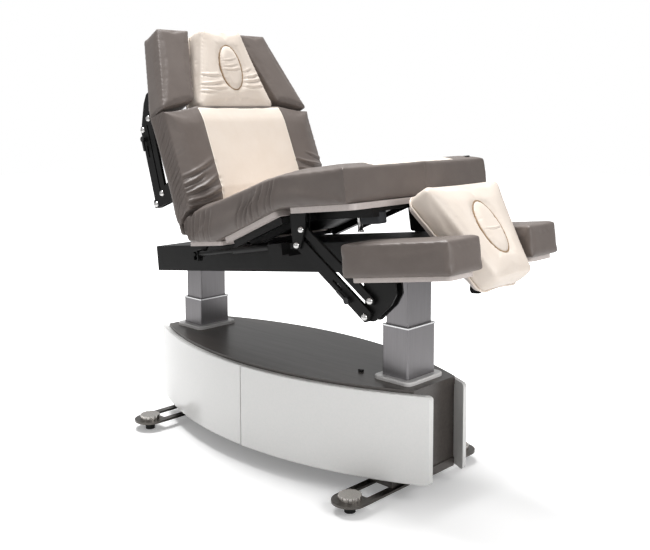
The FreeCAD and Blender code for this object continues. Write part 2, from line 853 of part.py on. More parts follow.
def build_beam():
    block = pad("beam", DECK, "XY_Plane", "beam_bottom", "beam_top - beam_bottom",
                [rectangle("-beam_head_end", "beam_foot_end", "-beam_half_width", "beam_half_width")])
    round_edges(block, "beam_wall", Y_AXIS, lambda place: place.z > size("beam_top") - 1)
    inner = "(beam_half_width - beam_wall)"
    pocket(block, "XY_Plane", "beam_bottom", "beam_top - beam_bottom - beam_wall",
           [rectangle("-beam_head_end + beam_wall", "beam_foot_end - beam_wall", f"-{inner}", inner)],
           upwards=True)
    pieces = [block]
    for along in ("head_pivot_along", "foot_pivot_along"):
        pieces.append(rod("pivot_shaft", DECK, along, "pivot_level", "-beam_half_width", "beam_half_width",
                          "pivot_pin_radius"))
    for place in ("-rear_rail_place", "front_rail_place"):
        pieces.append(box("cross_rail", f"{place} - cross_rail_width / 2", f"{place} + cross_rail_width / 2",
                          "-cross_rail_half_width", "cross_rail_half_width", "beam_top", "plate_low", DECK))
    for part in beam_lugs():
        pieces += both_sides("beam_lug", part)
    pieces += anchor_bracket()
    keep(fuse("main_beam", pieces), "main_beam")


def beam_lugs():
    """Lugs and pins of the back hinge and the thigh hinge, on the near side."""
    rail_back = "-rear_rail_place"
    rear = [(rail_back, "beam_top + 1"), (rail_back, "plate_low - 1"), ("-plate_rear - 1", "plate_low - 1"),
            ("-back_hinge_along + 3", "back_hinge_level + back_eye - 1"),
            ("-back_hinge_along - 7", "back_hinge_level - back_eye + 2")]
    hinge = "thigh_hinge_along"
    eye = "section_eye"
    front = [("front_rail_place", "beam_top + 1"), (f"{hinge} + 1", "beam_top + 1"),
             (f"{hinge} + {eye} - 0.5", "plate_low - 1"), (f"{hinge} + {eye} - 0.5", "thigh_hinge_level"),
             (f"{hinge} - {eye} + 0.5", "thigh_hinge_level"), (f"{hinge} - {eye} + 0.5", "plate_low - 1"),
             ("front_rail_place", "plate_low - 1")]
    pieces = eye_bar("back_lug", DECK, "lug_inner", "lug_thickness", rear, "-back_hinge_along",
                     "back_hinge_level",
                     "back_eye")
    pieces += eye_bar("thigh_lug", DECK, "lug_inner", "lug_thickness", front, hinge, "thigh_hinge_level", eye)
    for along, level in (("-back_hinge_along", "back_hinge_level"), (hinge, "thigh_hinge_level")):
        pieces.append(rod("hinge_pin", DECK, along, level, f"-{RAIL_OUTER} - side_gap", "-lug_inner",
                          "hinge_pin_radius"))
    return pieces


def anchor_bracket():
    """The bar and lug on the beam's near cheek that hold the actuator's motor end."""
    inner = f"({RAIL_OUTER} + 2 * side_gap)"
    thickness = f"(actuator_offset - actuator_tube_radius - side_gap - {inner})"
    bar = box("anchor_bar", "anchor_along - anchor_eye", "anchor_along + anchor_eye",
              f"-{inner} - {thickness}", "-beam_half_width", "anchor_bar_top - anchor_bar_height",
              "anchor_bar_top",
              DECK)
    outline = rectangle("anchor_along - anchor_eye", "anchor_along + anchor_eye",
                        "anchor_bar_top - anchor_bar_height", "anchor_level")
    lug = eye_bar("anchor_lug", DECK, inner, thickness, outline, "anchor_along", "anchor_level", "anchor_eye")
    pin = rod("anchor_pin", DECK, "anchor_along", "anchor_level", "-actuator_offset - actuator_tube_radius",
              f"-{inner}", "hinge_pin_radius")
    return [bar] + lug + [pin]


def board(name, frame, bottom, thickness, outline, corner):
    """A flat upholstery board with rounded plan corners."""
    sheet_body = pad(name, frame, "XY_Plane", bottom, thickness, [outline])
    return round_edges(sheet_body, corner, Z_AXIS)


def build_seat_plate():
    front = "thigh_hinge_along - section_eye - 1.5"
    outline = rectangle("-plate_rear", front, "-plate_half_width", "plate_half_width")
    keep(board("seat_plate", DECK, "plate_low", "plate_thickness", outline, "plate_corner"), "seat_plate")


# Cushions: lofts through plan outlines that tuck in at the base and crown at the top
def inset_corners(corners, amount):
    """A convex outline drawn in by the same amount on every side."""
    count = len(corners)
    lines = []
    for index in range(count):
        start = Vector(*corners[index], 0)
        along = Vector(*corners[(index + 1) % count], 0).sub(start).normalize()
        inward = Vector(-along.y, along.x, 0)
        lines.append((start.add(inward.multiply(amount)), along))
    result = []
    for index in range(count):
        first, first_along = lines[index - 1]
        second, second_along = lines[index]
        cross = first_along.x * second_along.y - first_along.y * second_along.x
        gap = second.sub(first)
        reach = (gap.x * second_along.y - gap.y * second_along.x) / cross
        spot = first.add(Vector(first_along).multiply(reach))
        result.append((spot.x, spot.y))
    return result


def cushion_outline(corners, radius, draw_in, level):
    """A wire with round corners and sides that pull in between them, on the plane level(x)."""
    count = len(corners)
    arrive, middle, leave = [], [], []
    for index in range(count):
        corner = Vector(*corners[index], 0)
        back = Vector(*corners[index - 1], 0).sub(corner).normalize()
        ahead = Vector(*corners[(index + 1) % count], 0).sub(corner).normalize()
        half = back.getAngle(ahead) / 2
        reach = radius / math.tan(half)
        inward = back.add(ahead).normalize()
        arrive.append(corner.add(Vector(back).multiply(reach)))
        leave.append(corner.add(Vector(ahead).multiply(reach)))
        middle.append(corner.add(inward.multiply(radius / math.sin(half) - radius)))

    def lifted(spot):
        return Vector(spot.x, spot.y, level(spot.x))

    edges = []
    for index in range(count):
        start = leave[index]
        finish = arrive[(index + 1) % count]
        along = finish.sub(start).normalize()
        waist = start.add(finish).multiply(0.5).add(Vector(-along.y, along.x, 0).multiply(draw_in))
        edges.append(Part.Arc(lifted(arrive[index]), lifted(middle[index]), lifted(start)).toShape())
        edges.append(Part.Arc(lifted(start), lifted(waist), lifted(finish)).toShape())
    return Part.Wire(edges)


def narrowest_width(corners):
    """The least distance between two parallel lines that hold the outline between them."""
    widths = []
    for index in range(len(corners)):
        start = Vector(*corners[index - 1], 0)
        along = Vector(*corners[index], 0).sub(start).normalize()
        widths.append(max(Vector(*corner, 0).sub(start).cross(along).Length for corner in corners))
    return min(widths)


def cushion_shape(corners_at, bottom, height_at):
    """A padded solid: corners_at(share) gives the plan, height_at(x) the height of the top edge."""
    crown = size("cushion_crown")
    edge = size("cushion_edge")
    tuck = size("cushion_tuck")
    crown_inset = min(size("cushion_crown_inset"), 0.3 * narrowest_width(corners_at(1)))
    sections = []
    levels = ((0, tuck, 0), (0.12, tuck / 4, 0), (0.5, 0, 0), (0.88, tuck / 4, 0),
              (1, edge, -edge / 2), (1, 3 * edge, 0), (1, crown_inset, crown))
    for share, amount, lift in levels:
        corners = inset_corners(corners_at(share), amount)
        def level(x, share=share, lift=lift):
            return bottom + share * height_at(x) + lift
        sections.append(cushion_outline(corners, size("cushion_corner"), size("cushion_draw_in"), level))
    solid = Part.makeLoft(sections, True, True)
    return solid


def set_shape(name, shape, frame):
    """An object that holds a finished shape in a frame."""
    piece = doc.addObject("Part::Feature", unique(name))
    piece.Shape = shape
    piece.Placement = frame.placement()
    return piece


def slope(start, finish, low, high):
    """A straight change of height from start to finish."""
    def height(x):
        return low + (high - low) * (x - start) / (finish - start)
    return height


def between(low, high):
    """A value that goes from low at the base to high at the top edge."""
    def value(share):
        return low + (high - low) * share
    return value


def build_seat_cushions():
    half = size("seat_half_width")
    lean = math.tan(math.radians(size("thigh_angle / 2 + fold_gap")))
    wedge = math.tan(math.radians(size("(180 - back_angle) / 2 - fold_gap")))
    bottom = size("plate_high + soft_gap")
    hinge = size("thigh_hinge_along")
    hinge_level = size("thigh_hinge_level")
    rear_top = bottom + size("seat_rear_height")
    fold_top = bottom + size("seat_fold_height")
    rear = between(-size("seat_rear_bottom"),
                   -size("back_hinge_along") + (rear_top - size("back_hinge_level")) / wedge)
    front = between(hinge - size("section_eye + side_gap"), hinge - (fold_top - hinge_level) * lean)

    def rear_corners(share):
        return [(rear(share), -half), (front(share), -half), (front(share), half), (rear(share), half)]

    height = slope(rear(1), front(1), size("seat_rear_height"), size("seat_fold_height"))
    keep(set_shape("seat_rear_cushion", cushion_shape(rear_corners, bottom, height), DECK),
         "seat_rear_cushion")

    thigh_bottom = size("thigh_board_top + soft_gap")
    thigh_top = thigh_bottom + size("thigh_rear_height")
    thigh_rear = between(thigh_bottom * lean, thigh_top * lean)
    thigh_front = size("thigh_length - soft_gap")

    def thigh_corners(share):
        start = thigh_rear(share)
        return [(start, -half), (thigh_front, -half), (thigh_front, half), (start, half)]

    thigh_height = slope(thigh_rear(1), thigh_front, size("thigh_rear_height"), size("thigh_front_height"))
    thigh = cushion_shape(thigh_corners, thigh_bottom, thigh_height)
    keep(set_shape("seat_thigh_cushion", thigh, THIGH), "seat_thigh_cushion")

    start = size("soft_gap")
    corner = size("front_corner")
    tip = size("front_corner + front_bow")

    def front_corners(share):
        return [(start, -half), (corner, -half), (tip, 0), (corner, half), (start, half)]

    front_height = slope(start, corner, size("front_rear_height"), size("front_front_height"))
    front_solid = cushion_shape(front_corners, size("front_board_top + soft_gap"), front_height)
    keep(set_shape("seat_front_cushion", front_solid, FRONT), "seat_front_cushion")


# Thigh section
def build_thigh():
    outline = rectangle("section_eye + 2", "thigh_board_end", "-plate_half_width", "plate_half_width")
    low = "(thigh_board_top - board_thickness)"
    keep(board("thigh_board", THIGH, low, "board_thickness", outline, "plate_corner"), "thigh_board")
    tray_low = f"({low} - tray_wall)"
    tray = box("tray", "tray_start", "tray_end", "-tray_half_width", "tray_half_width", tray_low, low, THIGH)
    flange = box("tray_flange", "tray_start", "tray_end", "-tray_half_width", "-tray_half_width + tray_wall",
                 f"{low} - tray_depth", tray_low, THIGH)
    rail_low = f"({low} - tray_depth)"
    outline = [("-section_eye + 1", 0), ("-section_eye + 1", rail_low),
               ("thigh_length + section_eye - 1", rail_low),
               ("thigh_length + section_eye - 1", 0), ("thigh_length - section_eye", 0),
               ("tray_end", tray_low),
               ("tray_start", tray_low), ("tray_start", low), ("section_eye + side_gap", low),
               ("section_eye", 0)]
    rail = pad("thigh_rail", THIGH, "XZ_Plane", RAIL_INNER, "rail_width", [outline])
    eyes = [rod("thigh_eye", THIGH, along, 0, f"-{RAIL_OUTER}", f"-{RAIL_INNER}", "section_eye")
            for along in (0, "thigh_length")]
    bore = rod("thigh_bore", THIGH, 0, 0, f"-{RAIL_OUTER} - side_gap", f"-{RAIL_INNER} + side_gap",
               "hinge_pin_radius + running_gap")
    side = cut("thigh_side", fuse("thigh_side", [rail, flange] + eyes), bore)
    pin = rod("front_pin", THIGH, "thigh_length", 0, f"-{FRONT_RAIL_OUTER} - side_gap", f"-{RAIL_INNER}",
              "hinge_pin_radius")
    near = fuse("thigh_near", [side, pin])
    keep(fuse("thigh_frame", [tray] + both_sides("thigh_far", near)), "thigh_frame")


# Front section, with the upper brackets of the leg-rest arms
FRONT_RAIL_INNER = f"({RAIL_OUTER} + 2 * side_gap)"
FRONT_RAIL_OUTER = f"({FRONT_RAIL_INNER} + rail_width)"
ARM_OUTER = "(arm_inner + arm_thickness)"


def build_front():
    outline = rectangle("front_board_start", "front_board_end", "-front_board_half_width",
                        "front_board_half_width")
    low = "(front_board_top - front_board_thickness)"
    keep(board("front_board", FRONT, low, "front_board_thickness", outline, "rest_board_corner"),
         "front_board")
    under = f"({low} - side_gap / 2)"
    rail_low = f"({under} - front_rail_depth)"
    outline = [("-section_eye + 1", 0), ("-section_eye + 1", rail_low), ("front_bar_end", rail_low),
               ("front_bar_end", low), ("front_board_start", low), ("section_eye", 0)]
    rail = pad("front_rail", FRONT, "XZ_Plane", FRONT_RAIL_INNER, "rail_width", [outline])
    eye = rod("front_eye", FRONT, 0, 0, f"-{FRONT_RAIL_OUTER}", f"-{FRONT_RAIL_INNER}", "section_eye")
    bore = rod("front_bore", FRONT, 0, 0, f"-{FRONT_RAIL_OUTER} - side_gap",
               f"-{FRONT_RAIL_INNER} + side_gap",
               "hinge_pin_radius + running_gap")
    side = cut("front_side", fuse("front_side", [rail, eye]), bore)
    arm_bar = box("bracket_bar", "front_board_start", "front_board_start + rail_width",
                  f"-{ARM_OUTER} - side_gap - bracket_plate", f"-{FRONT_RAIL_OUTER}", rail_low, low, FRONT)
    near = [side, arm_bar] + upper_bracket(LEG_PIVOT, 1, "leg_pivot_down", f"({low})")
    near += centre_lugs(FRONT, 1, "foot_centre_pivot_along", "-foot_centre_pivot_down",
                        "front_bar_end - rail_width", f"({low} - front_bar_depth)", low, "front_board_end")
    bar = box("front_bar", "front_bar_end - rail_width", "front_bar_end", f"-{FRONT_RAIL_INNER}",
              FRONT_RAIL_INNER,
              f"{low} - front_bar_depth", low, FRONT)
    half = fuse("front_near", near)
    keep(fuse("front_frame", [bar] + both_sides("front_far", half)), "front_frame")


def upper_bracket(frame, direction, drop, top):
    """Two plates and two bolts that hold the upper ends of a pair of arms, on the near side."""
    heel = f"{-direction} * bracket_heel"
    toe = f"{direction} * bracket_toe"
    second_x = f"{-direction} * pivot_step_along"
    tail = f"{direction} * bracket_tail"
    lift = f"({drop} + {top})"
    outline = [(heel, lift), (heel, 0), (f"{second_x} - {tail}", "-pivot_step_down - bracket_tail"),
               (f"{second_x} + {tail}", "-pivot_step_down - bracket_tail"),
               (f"{tail} * 1.2", 0), (toe, lift)]
    plates = []
    for inner in ("arm_inner - side_gap - bracket_plate", f"{ARM_OUTER} + side_gap"):
        plate = pad("bracket_plate", frame, "XZ_Plane", inner, "bracket_plate", [outline])
        low = -size("pivot_step_down")
        plates.append(round_edges(plate, "arm_corner", Y_AXIS, lambda place: place.z < low))
    outer = f"{ARM_OUTER} + side_gap + bracket_plate"
    bolts = []
    for along, level in ((0, 0), (second_x, "-pivot_step_down")):
        bolts.append(bolt(frame, along, level, "arm_inner - side_gap - bracket_plate", outer))
    return plates + bolts


def bolt(frame, along, level, inner, outer):
    """A near-side bolt: shank from inner to outer and a domed head outside."""
    body = doc.addObject("PartDesign::Body", unique("bolt"))
    sketch = add_sketch(body, "XZ_Plane", 0)
    corners = [("0", inner), ("bolt_radius", inner), ("bolt_radius", outer), ("bolt_head_radius", outer),
               ("0", f"{outer} + bolt_head_height")]
    places = [Vector(size(x), size(y), 0) for x, y in corners]
    rim = size("bolt_head_radius")
    rise = size("bolt_head_height")
    radius = (rim * rim + rise * rise) / (2 * rise)
    for start, finish in ((0, 1), (1, 2), (2, 3), (4, 0)):
        sketch.addGeometry(Part.LineSegment(places[start], places[finish]), False)
    middle = Vector(0, places[4].y - radius, 0)
    first_angle = math.atan2(places[3].y - middle.y, places[3].x)
    dome = Part.ArcOfCircle(Part.Circle(middle, Z_AXIS, radius), first_angle, math.pi / 2)
    arc = sketch.addGeometry(dome, False)
    for line in (0, 1):
        sketch.addConstraint(Sketcher.Constraint("Coincident", line, 2, line + 1, 1))
    sketch.addConstraint(Sketcher.Constraint("Coincident", 2, 2, arc, 1))
    sketch.addConstraint(Sketcher.Constraint("Coincident", arc, 2, 3, 1))
    sketch.addConstraint(Sketcher.Constraint("Coincident", 3, 2, 0, 1))
    sketch.addConstraint(Sketcher.Constraint("PointOnObject", arc, 3, -2))
    for line, corner in ((0, 0), (1, 1), (2, 2), (3, 4)):
        hold_point(sketch, line, 1, *corners[corner], places[corner])
    hold_point(sketch, arc, 1, *corners[3], places[3])
    turned = body.newObject("PartDesign::Revolution", unique("bolt_turned"))
    turned.Profile = sketch
    turned.ReferenceAxis = (sketch, ["V_Axis"])
    turned.Angle = 360
    place = FreeCAD.Placement(Vector(size(along), 0, size(level)), FreeCAD.Rotation(X_AXIS, 90))
    body.Placement = frame.placement().multiply(place)
    return body


def centre_lugs(frame, direction, along, level, root, low, high, board_edge):
    """A near-side lug of a section's frame that carries a centre cushion's hinge pin."""
    outline = [(root, low), (f"{along} - {direction} * 2", f"{level} - centre_eye + 1"),
               (f"{along} + {direction} * centre_eye - {direction} * 1", level),
               (f"{along}", f"{level} + centre_eye - 1"),
               (f"{board_edge} + {direction} * side_gap", high), (root, high)]
    lug = eye_bar("centre_lug", frame, "centre_lug_inner", "centre_lug_thickness", outline, along, level,
                  "centre_eye")
    outer = "(centre_lug_inner + 2 * centre_lug_thickness + 2 * side_gap)"
    pin = rod("centre_pin", frame, along, level, f"-{outer}", "-centre_lug_inner", "hinge_pin_radius")
    return lug + [pin]


# Back section, with the brackets of the head-wing arms and the actuator's lever
def build_back():
    outline = rectangle("-back_board_end", "-back_board_start", "-plate_half_width", "plate_half_width")
    under = "back_board_bottom"
    keep(board("back_board", BACK, under, "board_thickness", outline, "plate_corner"), "back_board")
    outline = [("back_eye - 1", 0), ("0", f"{under}"), ("-back_rail_end", under),
               ("-back_rail_end", "-back_rail_bottom"),
               ("-back_board_start", "-back_rail_bottom"), ("back_eye - 4", "-back_eye / 2")]
    rail = pad("back_rail", BACK, "XZ_Plane", RAIL_INNER, "rail_width", [outline])
    eye = rod("back_eye", BACK, 0, 0, f"-{RAIL_OUTER}", f"-{RAIL_INNER}", "back_eye")
    bore = rod("back_bore", BACK, 0, 0, f"-{RAIL_OUTER} - 2 * side_gap", f"-{RAIL_INNER} + side_gap",
               "hinge_pin_radius + running_gap")
    side = cut("back_side", fuse("back_side", [rail, eye]), bore)
    bracket_bar = box("wing_bracket_bar", "-wing_pivot_along - rail_width / 2",
                      "-wing_pivot_along + rail_width / 2",
                      f"-{ARM_OUTER} - side_gap - bracket_plate", f"-{RAIL_OUTER}", "-back_rail_bottom",
                      under, BACK)
    near = [side, bracket_bar] + upper_bracket(WING_PIVOT, -1, "wing_pivot_down", "(-back_rail_bottom / 2)")
    near += centre_lugs(BACK, -1, "-head_centre_pivot_along", "-head_centre_pivot_down",
                        "-back_high_bar + rail_width", "-back_bar_bottom", under, "-back_board_end")
    bars = []
    for place in ("back_low_bar", "back_high_bar"):
        bars.append(box("back_bar", f"-{place}", f"-{place} + rail_width", f"-{RAIL_INNER}", RAIL_INNER,
                        "-back_bar_bottom", under, BACK))
    half = fuse("back_near", near)
    keep(fuse("back_frame", bars + both_sides("back_far", half) + actuator_lever()), "back_frame")


def lever_end():
    """Where the actuator's rod meets the back's lever, in the deck's frame."""
    along = "(-back_hinge_along - lever_radius * sin(lever_angle))"
    level = "(back_hinge_level - lever_radius * cos(lever_angle))"
    return along, level


def actuator_lever():
    """A plate on the back's near rail, below its hinge, with the pin for the actuator's rod."""
    inner = f"({RAIL_OUTER} - side_gap)"
    along, level = lever_end()
    hinge = ("-back_hinge_along", "back_hinge_level")
    half = "lever_eye * 0.8"
    across_x = f"{half} * cos(lever_angle)"
    across_z = f"{half} * sin(lever_angle)"
    outline = [(f"{hinge[0]} - {across_x}", f"{hinge[1]} + {across_z}"),
               (f"{along} - {across_x}", f"{level} + {across_z}"),
               (f"{along} + {across_x}", f"{level} - {across_z}"),
               (f"{hinge[0]} + {across_x}", f"{hinge[1]} - {across_z}")]
    plate = eye_bar("lever", DECK, f"({RAIL_OUTER})", "lever_plate", outline, along, level, "lever_eye")
    hub = rod("lever_hub", DECK, *hinge, f"-{RAIL_OUTER} - lever_plate", f"-{RAIL_OUTER}", "lever_eye")
    pin = rod("lever_pin", DECK, along, level, "-actuator_offset - actuator_tube_radius", f"-{RAIL_OUTER}",
              "hinge_pin_radius")
    bore = rod("lever_bore", DECK, *hinge, f"-{RAIL_OUTER} - 2 * side_gap", f"-{RAIL_OUTER}",
               "hinge_pin_radius + running_gap")
    return [cut("actuator_lever", fuse("actuator_lever", plate + [hub, pin]), bore)]


def build_actuator():
    """Motor and rod of the actuator, in a frame at the motor's pin that points at the lever's pin."""
    along, level = lever_end()
    run = size(f"anchor_along - {along}")
    rise = size(f"anchor_level - {level}")
    reach = math.hypot(run, rise)
    frame = DECK.step("anchor_along", "anchor_level", -math.degrees(math.atan2(rise, run)))
    centre = "-actuator_offset"
    tube_radius = "actuator_tube_radius"
    gearbox = box("gearbox", "-gearbox_length", "hinge_pin_radius + 6", f"{centre} - {tube_radius} + 1",
                  f"{centre} + {tube_radius} - 1", "-gearbox_bottom", "gearbox_top", frame)
    shell = along_bar("actuator_tube", frame, "-actuator_tube_length", "-gearbox_length", tube_radius)
    hollow = along_bar("actuator_hollow", frame, "-actuator_tube_length - 1", "-gearbox_length - 10",
                       "actuator_bore_radius")
    bore = rod("motor_bore", frame, 0, 0, f"{centre} - 2 * {tube_radius}", f"{centre} + 2 * {tube_radius}",
               "hinge_pin_radius + running_gap")
    motor = cut("motor", fuse("motor", [gearbox, shell]), group("motor_holes", [hollow, bore]))
    keep(motor, "back_actuator_motor")
    eye_place = f"(-{reach})"
    shaft = along_bar("actuator_shaft", frame, f"{eye_place} + actuator_eye - 2", "-actuator_rod_hidden",
                      "actuator_rod_radius")
    outline = rectangle(f"{eye_place} - actuator_eye", f"{eye_place} + actuator_eye",
                        "-actuator_eye - lever_sag", "actuator_eye")
    hole = "(hinge_pin_radius + actuator_eye_gap)"
    slot = rectangle(f"{eye_place} - {hole}", f"{eye_place} + {hole}", f"-{hole} - lever_sag", hole)
    eye = pad("rod_eye", frame, "XZ_Plane", "actuator_offset - actuator_eye_width / 2", "actuator_eye_width",
              [outline, slot])
    limit = size("actuator_eye") - 1
    round_edges(eye, f"{hole}", Y_AXIS, lambda place: abs(place.x + reach) > limit)
    round_edges(eye, "hinge_pin_radius", Y_AXIS, lambda place: abs(place.x + reach) < limit)
    keep(fuse("actuator_rod", [shaft, eye]), "back_actuator_rod")


def along_bar(name, frame, start, finish, radius):
    """A round bar along the frame's X, on the actuator's line."""
    bar = doc.addObject("Part::Cylinder", unique(name))
    bar.setExpression("Radius", linked(radius))
    bar.setExpression("Height", linked(f"({finish}) - ({start})"))
    place = FreeCAD.Placement(Vector(size(start), -size("actuator_offset"), 0), FreeCAD.Rotation(Y_AXIS, 90))
    bar.Placement = frame.placement().multiply(place)
    return bar


def build_back_cushion():
    half = size("seat_half_width")
    bottom = size("back_board_bottom + board_thickness + soft_gap")
    wedge = math.tan(math.radians(size("(180 - back_angle) / 2 - fold_gap")))
    low_end = between(-size("back_low_end"), -(bottom + size("back_thickness")) / wedge)
    panel = size("panel_half_width")
    corner = -size("back_top_corner")
    tip = -size("back_top_corner + back_top_bow")

    def corners(share):
        return [(corner, -half), (low_end(share), -half), (low_end(share), half), (corner, half),
                (tip, panel), (tip, -panel)]

    def height(x):
        return size("back_thickness")

    keep(set_shape("back_cushion", cushion_shape(corners, bottom, height), BACK), "back_cushion")


# Leg rests and head wings on their parallelogram arms
def build_rest(kind, frames, direction, length, start, tilt, clamp, plan):
    """Arms, clamp lever, bracket, board and cushion of the near rest, and the far mirror images."""
    pivot, arm_frame, rest_frame = frames
    second = pivot.step(f"{-direction} * pivot_step_along", "-pivot_step_down")
    second.turn = arm_frame.turn
    pieces = {
        "main_arm": arm(second, direction, length, "main_arm_low", "main_arm_high", True),
        "link_arm": arm(arm_frame, direction, length, "link_arm_low", "link_arm_high", False),
        "clamp_lever": clamp_lever(second.step(f"{direction} * {clamp}", 0), direction),
        "bracket": rest_bracket(rest_frame, direction, tilt),
        "board": rest_board(rest_frame, direction, start, reach_plan(plan)),
        "cushion": rest_cushion(rest_frame, direction, start, reach_plan(plan)),
    }
    for piece_name, piece in pieces.items():
        keep(piece, f"{kind[0]}_near_{kind[1]}_{piece_name}")
        keep(mirrored(piece_name, piece), f"{kind[0]}_far_{kind[1]}_{piece_name}")


def arm(frame, direction, length, low, high, slotted):
    """A flat bar with two bores, and a clamp slot on the main arm."""
    ends = (f"{-direction} * arm_end", f"{direction} * ({length} + arm_end)")
    left, right = sorted(ends, key=size)
    loops = [rectangle(left, right, f"-{low}", high)]
    if slotted:
        slot_ends = (f"{direction} * arm_slot_start", f"{direction} * (arm_slot_start + arm_slot_length)")
        slot_left, slot_right = sorted(slot_ends, key=size)
        middle = f"({high} - {low}) / 2"
        loops.append(rectangle(slot_left, slot_right, f"{middle} - arm_slot_width / 2",
                               f"{middle} + arm_slot_width / 2"))
    bores = [(0, 0, "bolt_radius + running_gap"), (f"{direction} * {length}", 0, "bolt_radius + running_gap")]
    bar = pad("arm", frame, "XZ_Plane", "arm_inner", "arm_thickness", loops, bores)
    limits = (size(left) + 1, size(right) - 1)
    return round_edges(bar, "arm_corner", Y_AXIS, lambda place: not limits[0] < place.x < limits[1])


def clamp_lever(frame, direction):
    """A hub on the main arm's outer face with a flat handle."""
    face = f"({ARM_OUTER} + clamp_gap)"
    outer = f"({face} + clamp_hub_length)"
    hub = rod("clamp_hub", frame, 0, 0, f"-{outer}", f"-{face}", "clamp_hub_radius")
    half = "clamp_handle_width / 2"
    ends = sorted((0, f"{-direction} * clamp_handle_length"), key=size)
    handle = pad("clamp_handle", frame, "XZ_Plane", f"{outer} - clamp_handle_thickness",
                 "clamp_handle_thickness",
                 [rectangle(ends[0], ends[1], f"-{half}", half)])
    tip = abs(size("clamp_handle_length")) - 1
    round_edges(handle, f"{half} - 0.5", Y_AXIS, lambda place: abs(place.x) > tip)
    return fuse("clamp_lever", [hub, handle])


def rest_bracket(frame, direction, tilt):
    """Two rounded plates under the board, with the bolts that hold the lower ends of the arms."""
    turned_x = f"({-direction} * pivot_step_along * cos({tilt}) - pivot_step_down * sin({tilt}))"
    turned_z = f"({-direction} * pivot_step_along * -sin({tilt}) - pivot_step_down * cos({tilt}))"
    heel = f"{-direction} * bracket_heel * 0.65"
    toe = f"{direction} * rest_plate_toe"
    tail = f"{direction} * bracket_tail"
    top = "rest_board_rise"
    outline = [(heel, top), (heel, 0), (f"{turned_x} - {tail}", f"{turned_z} - bracket_tail"),
               (f"{turned_x} + 2 * {tail}", f"{turned_z} - bracket_tail"), (f"0.75 * {toe}", "-bracket_tail"),
               (toe, "0.3 * rest_board_rise"), (toe, top)]
    inner = "arm_inner - side_gap - bracket_plate"
    plates = []
    edge_level = size(f"{top}") - 1
    for start in (inner, f"{inner} - rest_plate_step"):
        plate = pad("rest_plate", frame, "XZ_Plane", start, "bracket_plate", [outline])
        plates.append(round_edges(plate, "rest_plate_corner", Y_AXIS, lambda place: place.z < edge_level))
    ends = sorted((heel, toe), key=size)
    web = box("rest_web", ends[0], ends[1], "-arm_inner + side_gap", f"-({inner}) + rest_plate_step",
              f"{top} - bracket_plate", top, frame)
    bolts = [bolt(frame, along, level, f"{inner} - rest_plate_step", f"{ARM_OUTER} + clamp_gap")
             for along, level in ((0, 0), (turned_x, turned_z))]
    return fuse("rest_bracket", plates + [web] + bolts)


def reach_plan(plan):
    """The length of a rest, the slant of its near end and its four plan widths, as expressions."""
    names = ("length", "slant", "outer_near", "outer_far", "inner_near", "inner_far")
    return dict(zip(names, plan))


def rest_corners(direction, start, plan, inset):
    """Plan corners of a near rest as expressions, drawn in by an inset."""
    outer = f"{-direction} * ({start} - {inset})"
    inner = f"{-direction} * ({start} - {plan['slant']} - {inset})"
    last = f"{direction} * ({plan['length']} - {start} - {inset})"
    return [(outer, f"-{plan['outer_near']} + {inset}"), (last, f"-{plan['outer_far']} + {inset}"),
            (last, f"-{plan['inner_far']} - {inset}"), (inner, f"-{plan['inner_near']} - {inset}")]


def rest_board(frame, direction, start, plan):
    outline = rest_corners(direction, start, plan, "rest_board_inset")
    return board("rest_board", frame, "rest_board_rise", "rest_board_thickness", outline, "rest_board_corner")


def rest_cushion(frame, direction, start, plan):
    corners = [(size(x), size(y)) for x, y in rest_corners(direction, start, plan, 0)]
    if direction < 0:
        corners.reverse()
    bottom = size("rest_board_rise + rest_board_thickness + soft_gap")

    def height(x):
        return size("rest_thickness")

    return set_shape("rest_cushion", cushion_shape(lambda share: corners, bottom, height), frame)


# Centre cushions at the head and foot, each with a lift-out oval plug
def build_centre(name, frame, direction, start, length, board_level, near, far):
    """Board with hinge lugs, cushion with an oval hole, and the plug that fills it."""
    first = f"{direction} * {start}"
    last = f"{direction} * ({start} + {length})"
    inset = "centre_board_inset"
    outline = [(f"{direction} * ({start} + {inset} / 2)", f"-{near} + {inset}"),
               (f"{direction} * ({start} + {length} - {inset})", f"-{far} + {inset}"),
               (f"{direction} * ({start} + {length} - {inset})", f"{far} - {inset}"),
               (f"{direction} * ({start} + {inset} / 2)", f"{near} - {inset}")]
    panel = board("centre_board", frame, board_level, "centre_board_thickness", outline, "rest_board_corner")
    middle = size(f"{direction} * ({start} + {length} / 2)")
    low = size(board_level)
    top = size(f"{board_level} + centre_board_thickness + soft_gap")
    lip = oval_prism("board_hole", frame, middle, low - 1, size("centre_board_thickness") + 2,
                     -size("oval_lip"))
    near_lug = centre_leaf(frame, direction, board_level)
    whole = fuse("centre_panel", [cut("centre_panel", panel, lip)] + both_sides("centre_leaf", near_lug))
    keep(whole, f"{name}_board")

    corners = [(size(first), -size(near)), (size(last), -size(far)), (size(last), size(far)),
               (size(first), size(near))]
    if direction < 0:
        corners.reverse()
    thickness = size("centre_thickness")
    pad_shape = cushion_shape(lambda share: corners, top, lambda x: thickness)
    hole = oval(middle, low, 2 * thickness, size("oval_gap"))
    keep(set_shape("centre_cushion", pad_shape.cut(hole), frame), f"{name}_cushion")

    crown = size("cushion_crown")
    sections = [oval_wire(middle, top, 0), oval_wire(middle, top + thickness + crown, 0),
                oval_wire(middle, top + thickness + crown + size("plug_crown"), -size("plug_crown_inset"))]
    keep(set_shape("plug", Part.makeLoft(sections, True, True), frame), f"{name}_plug")


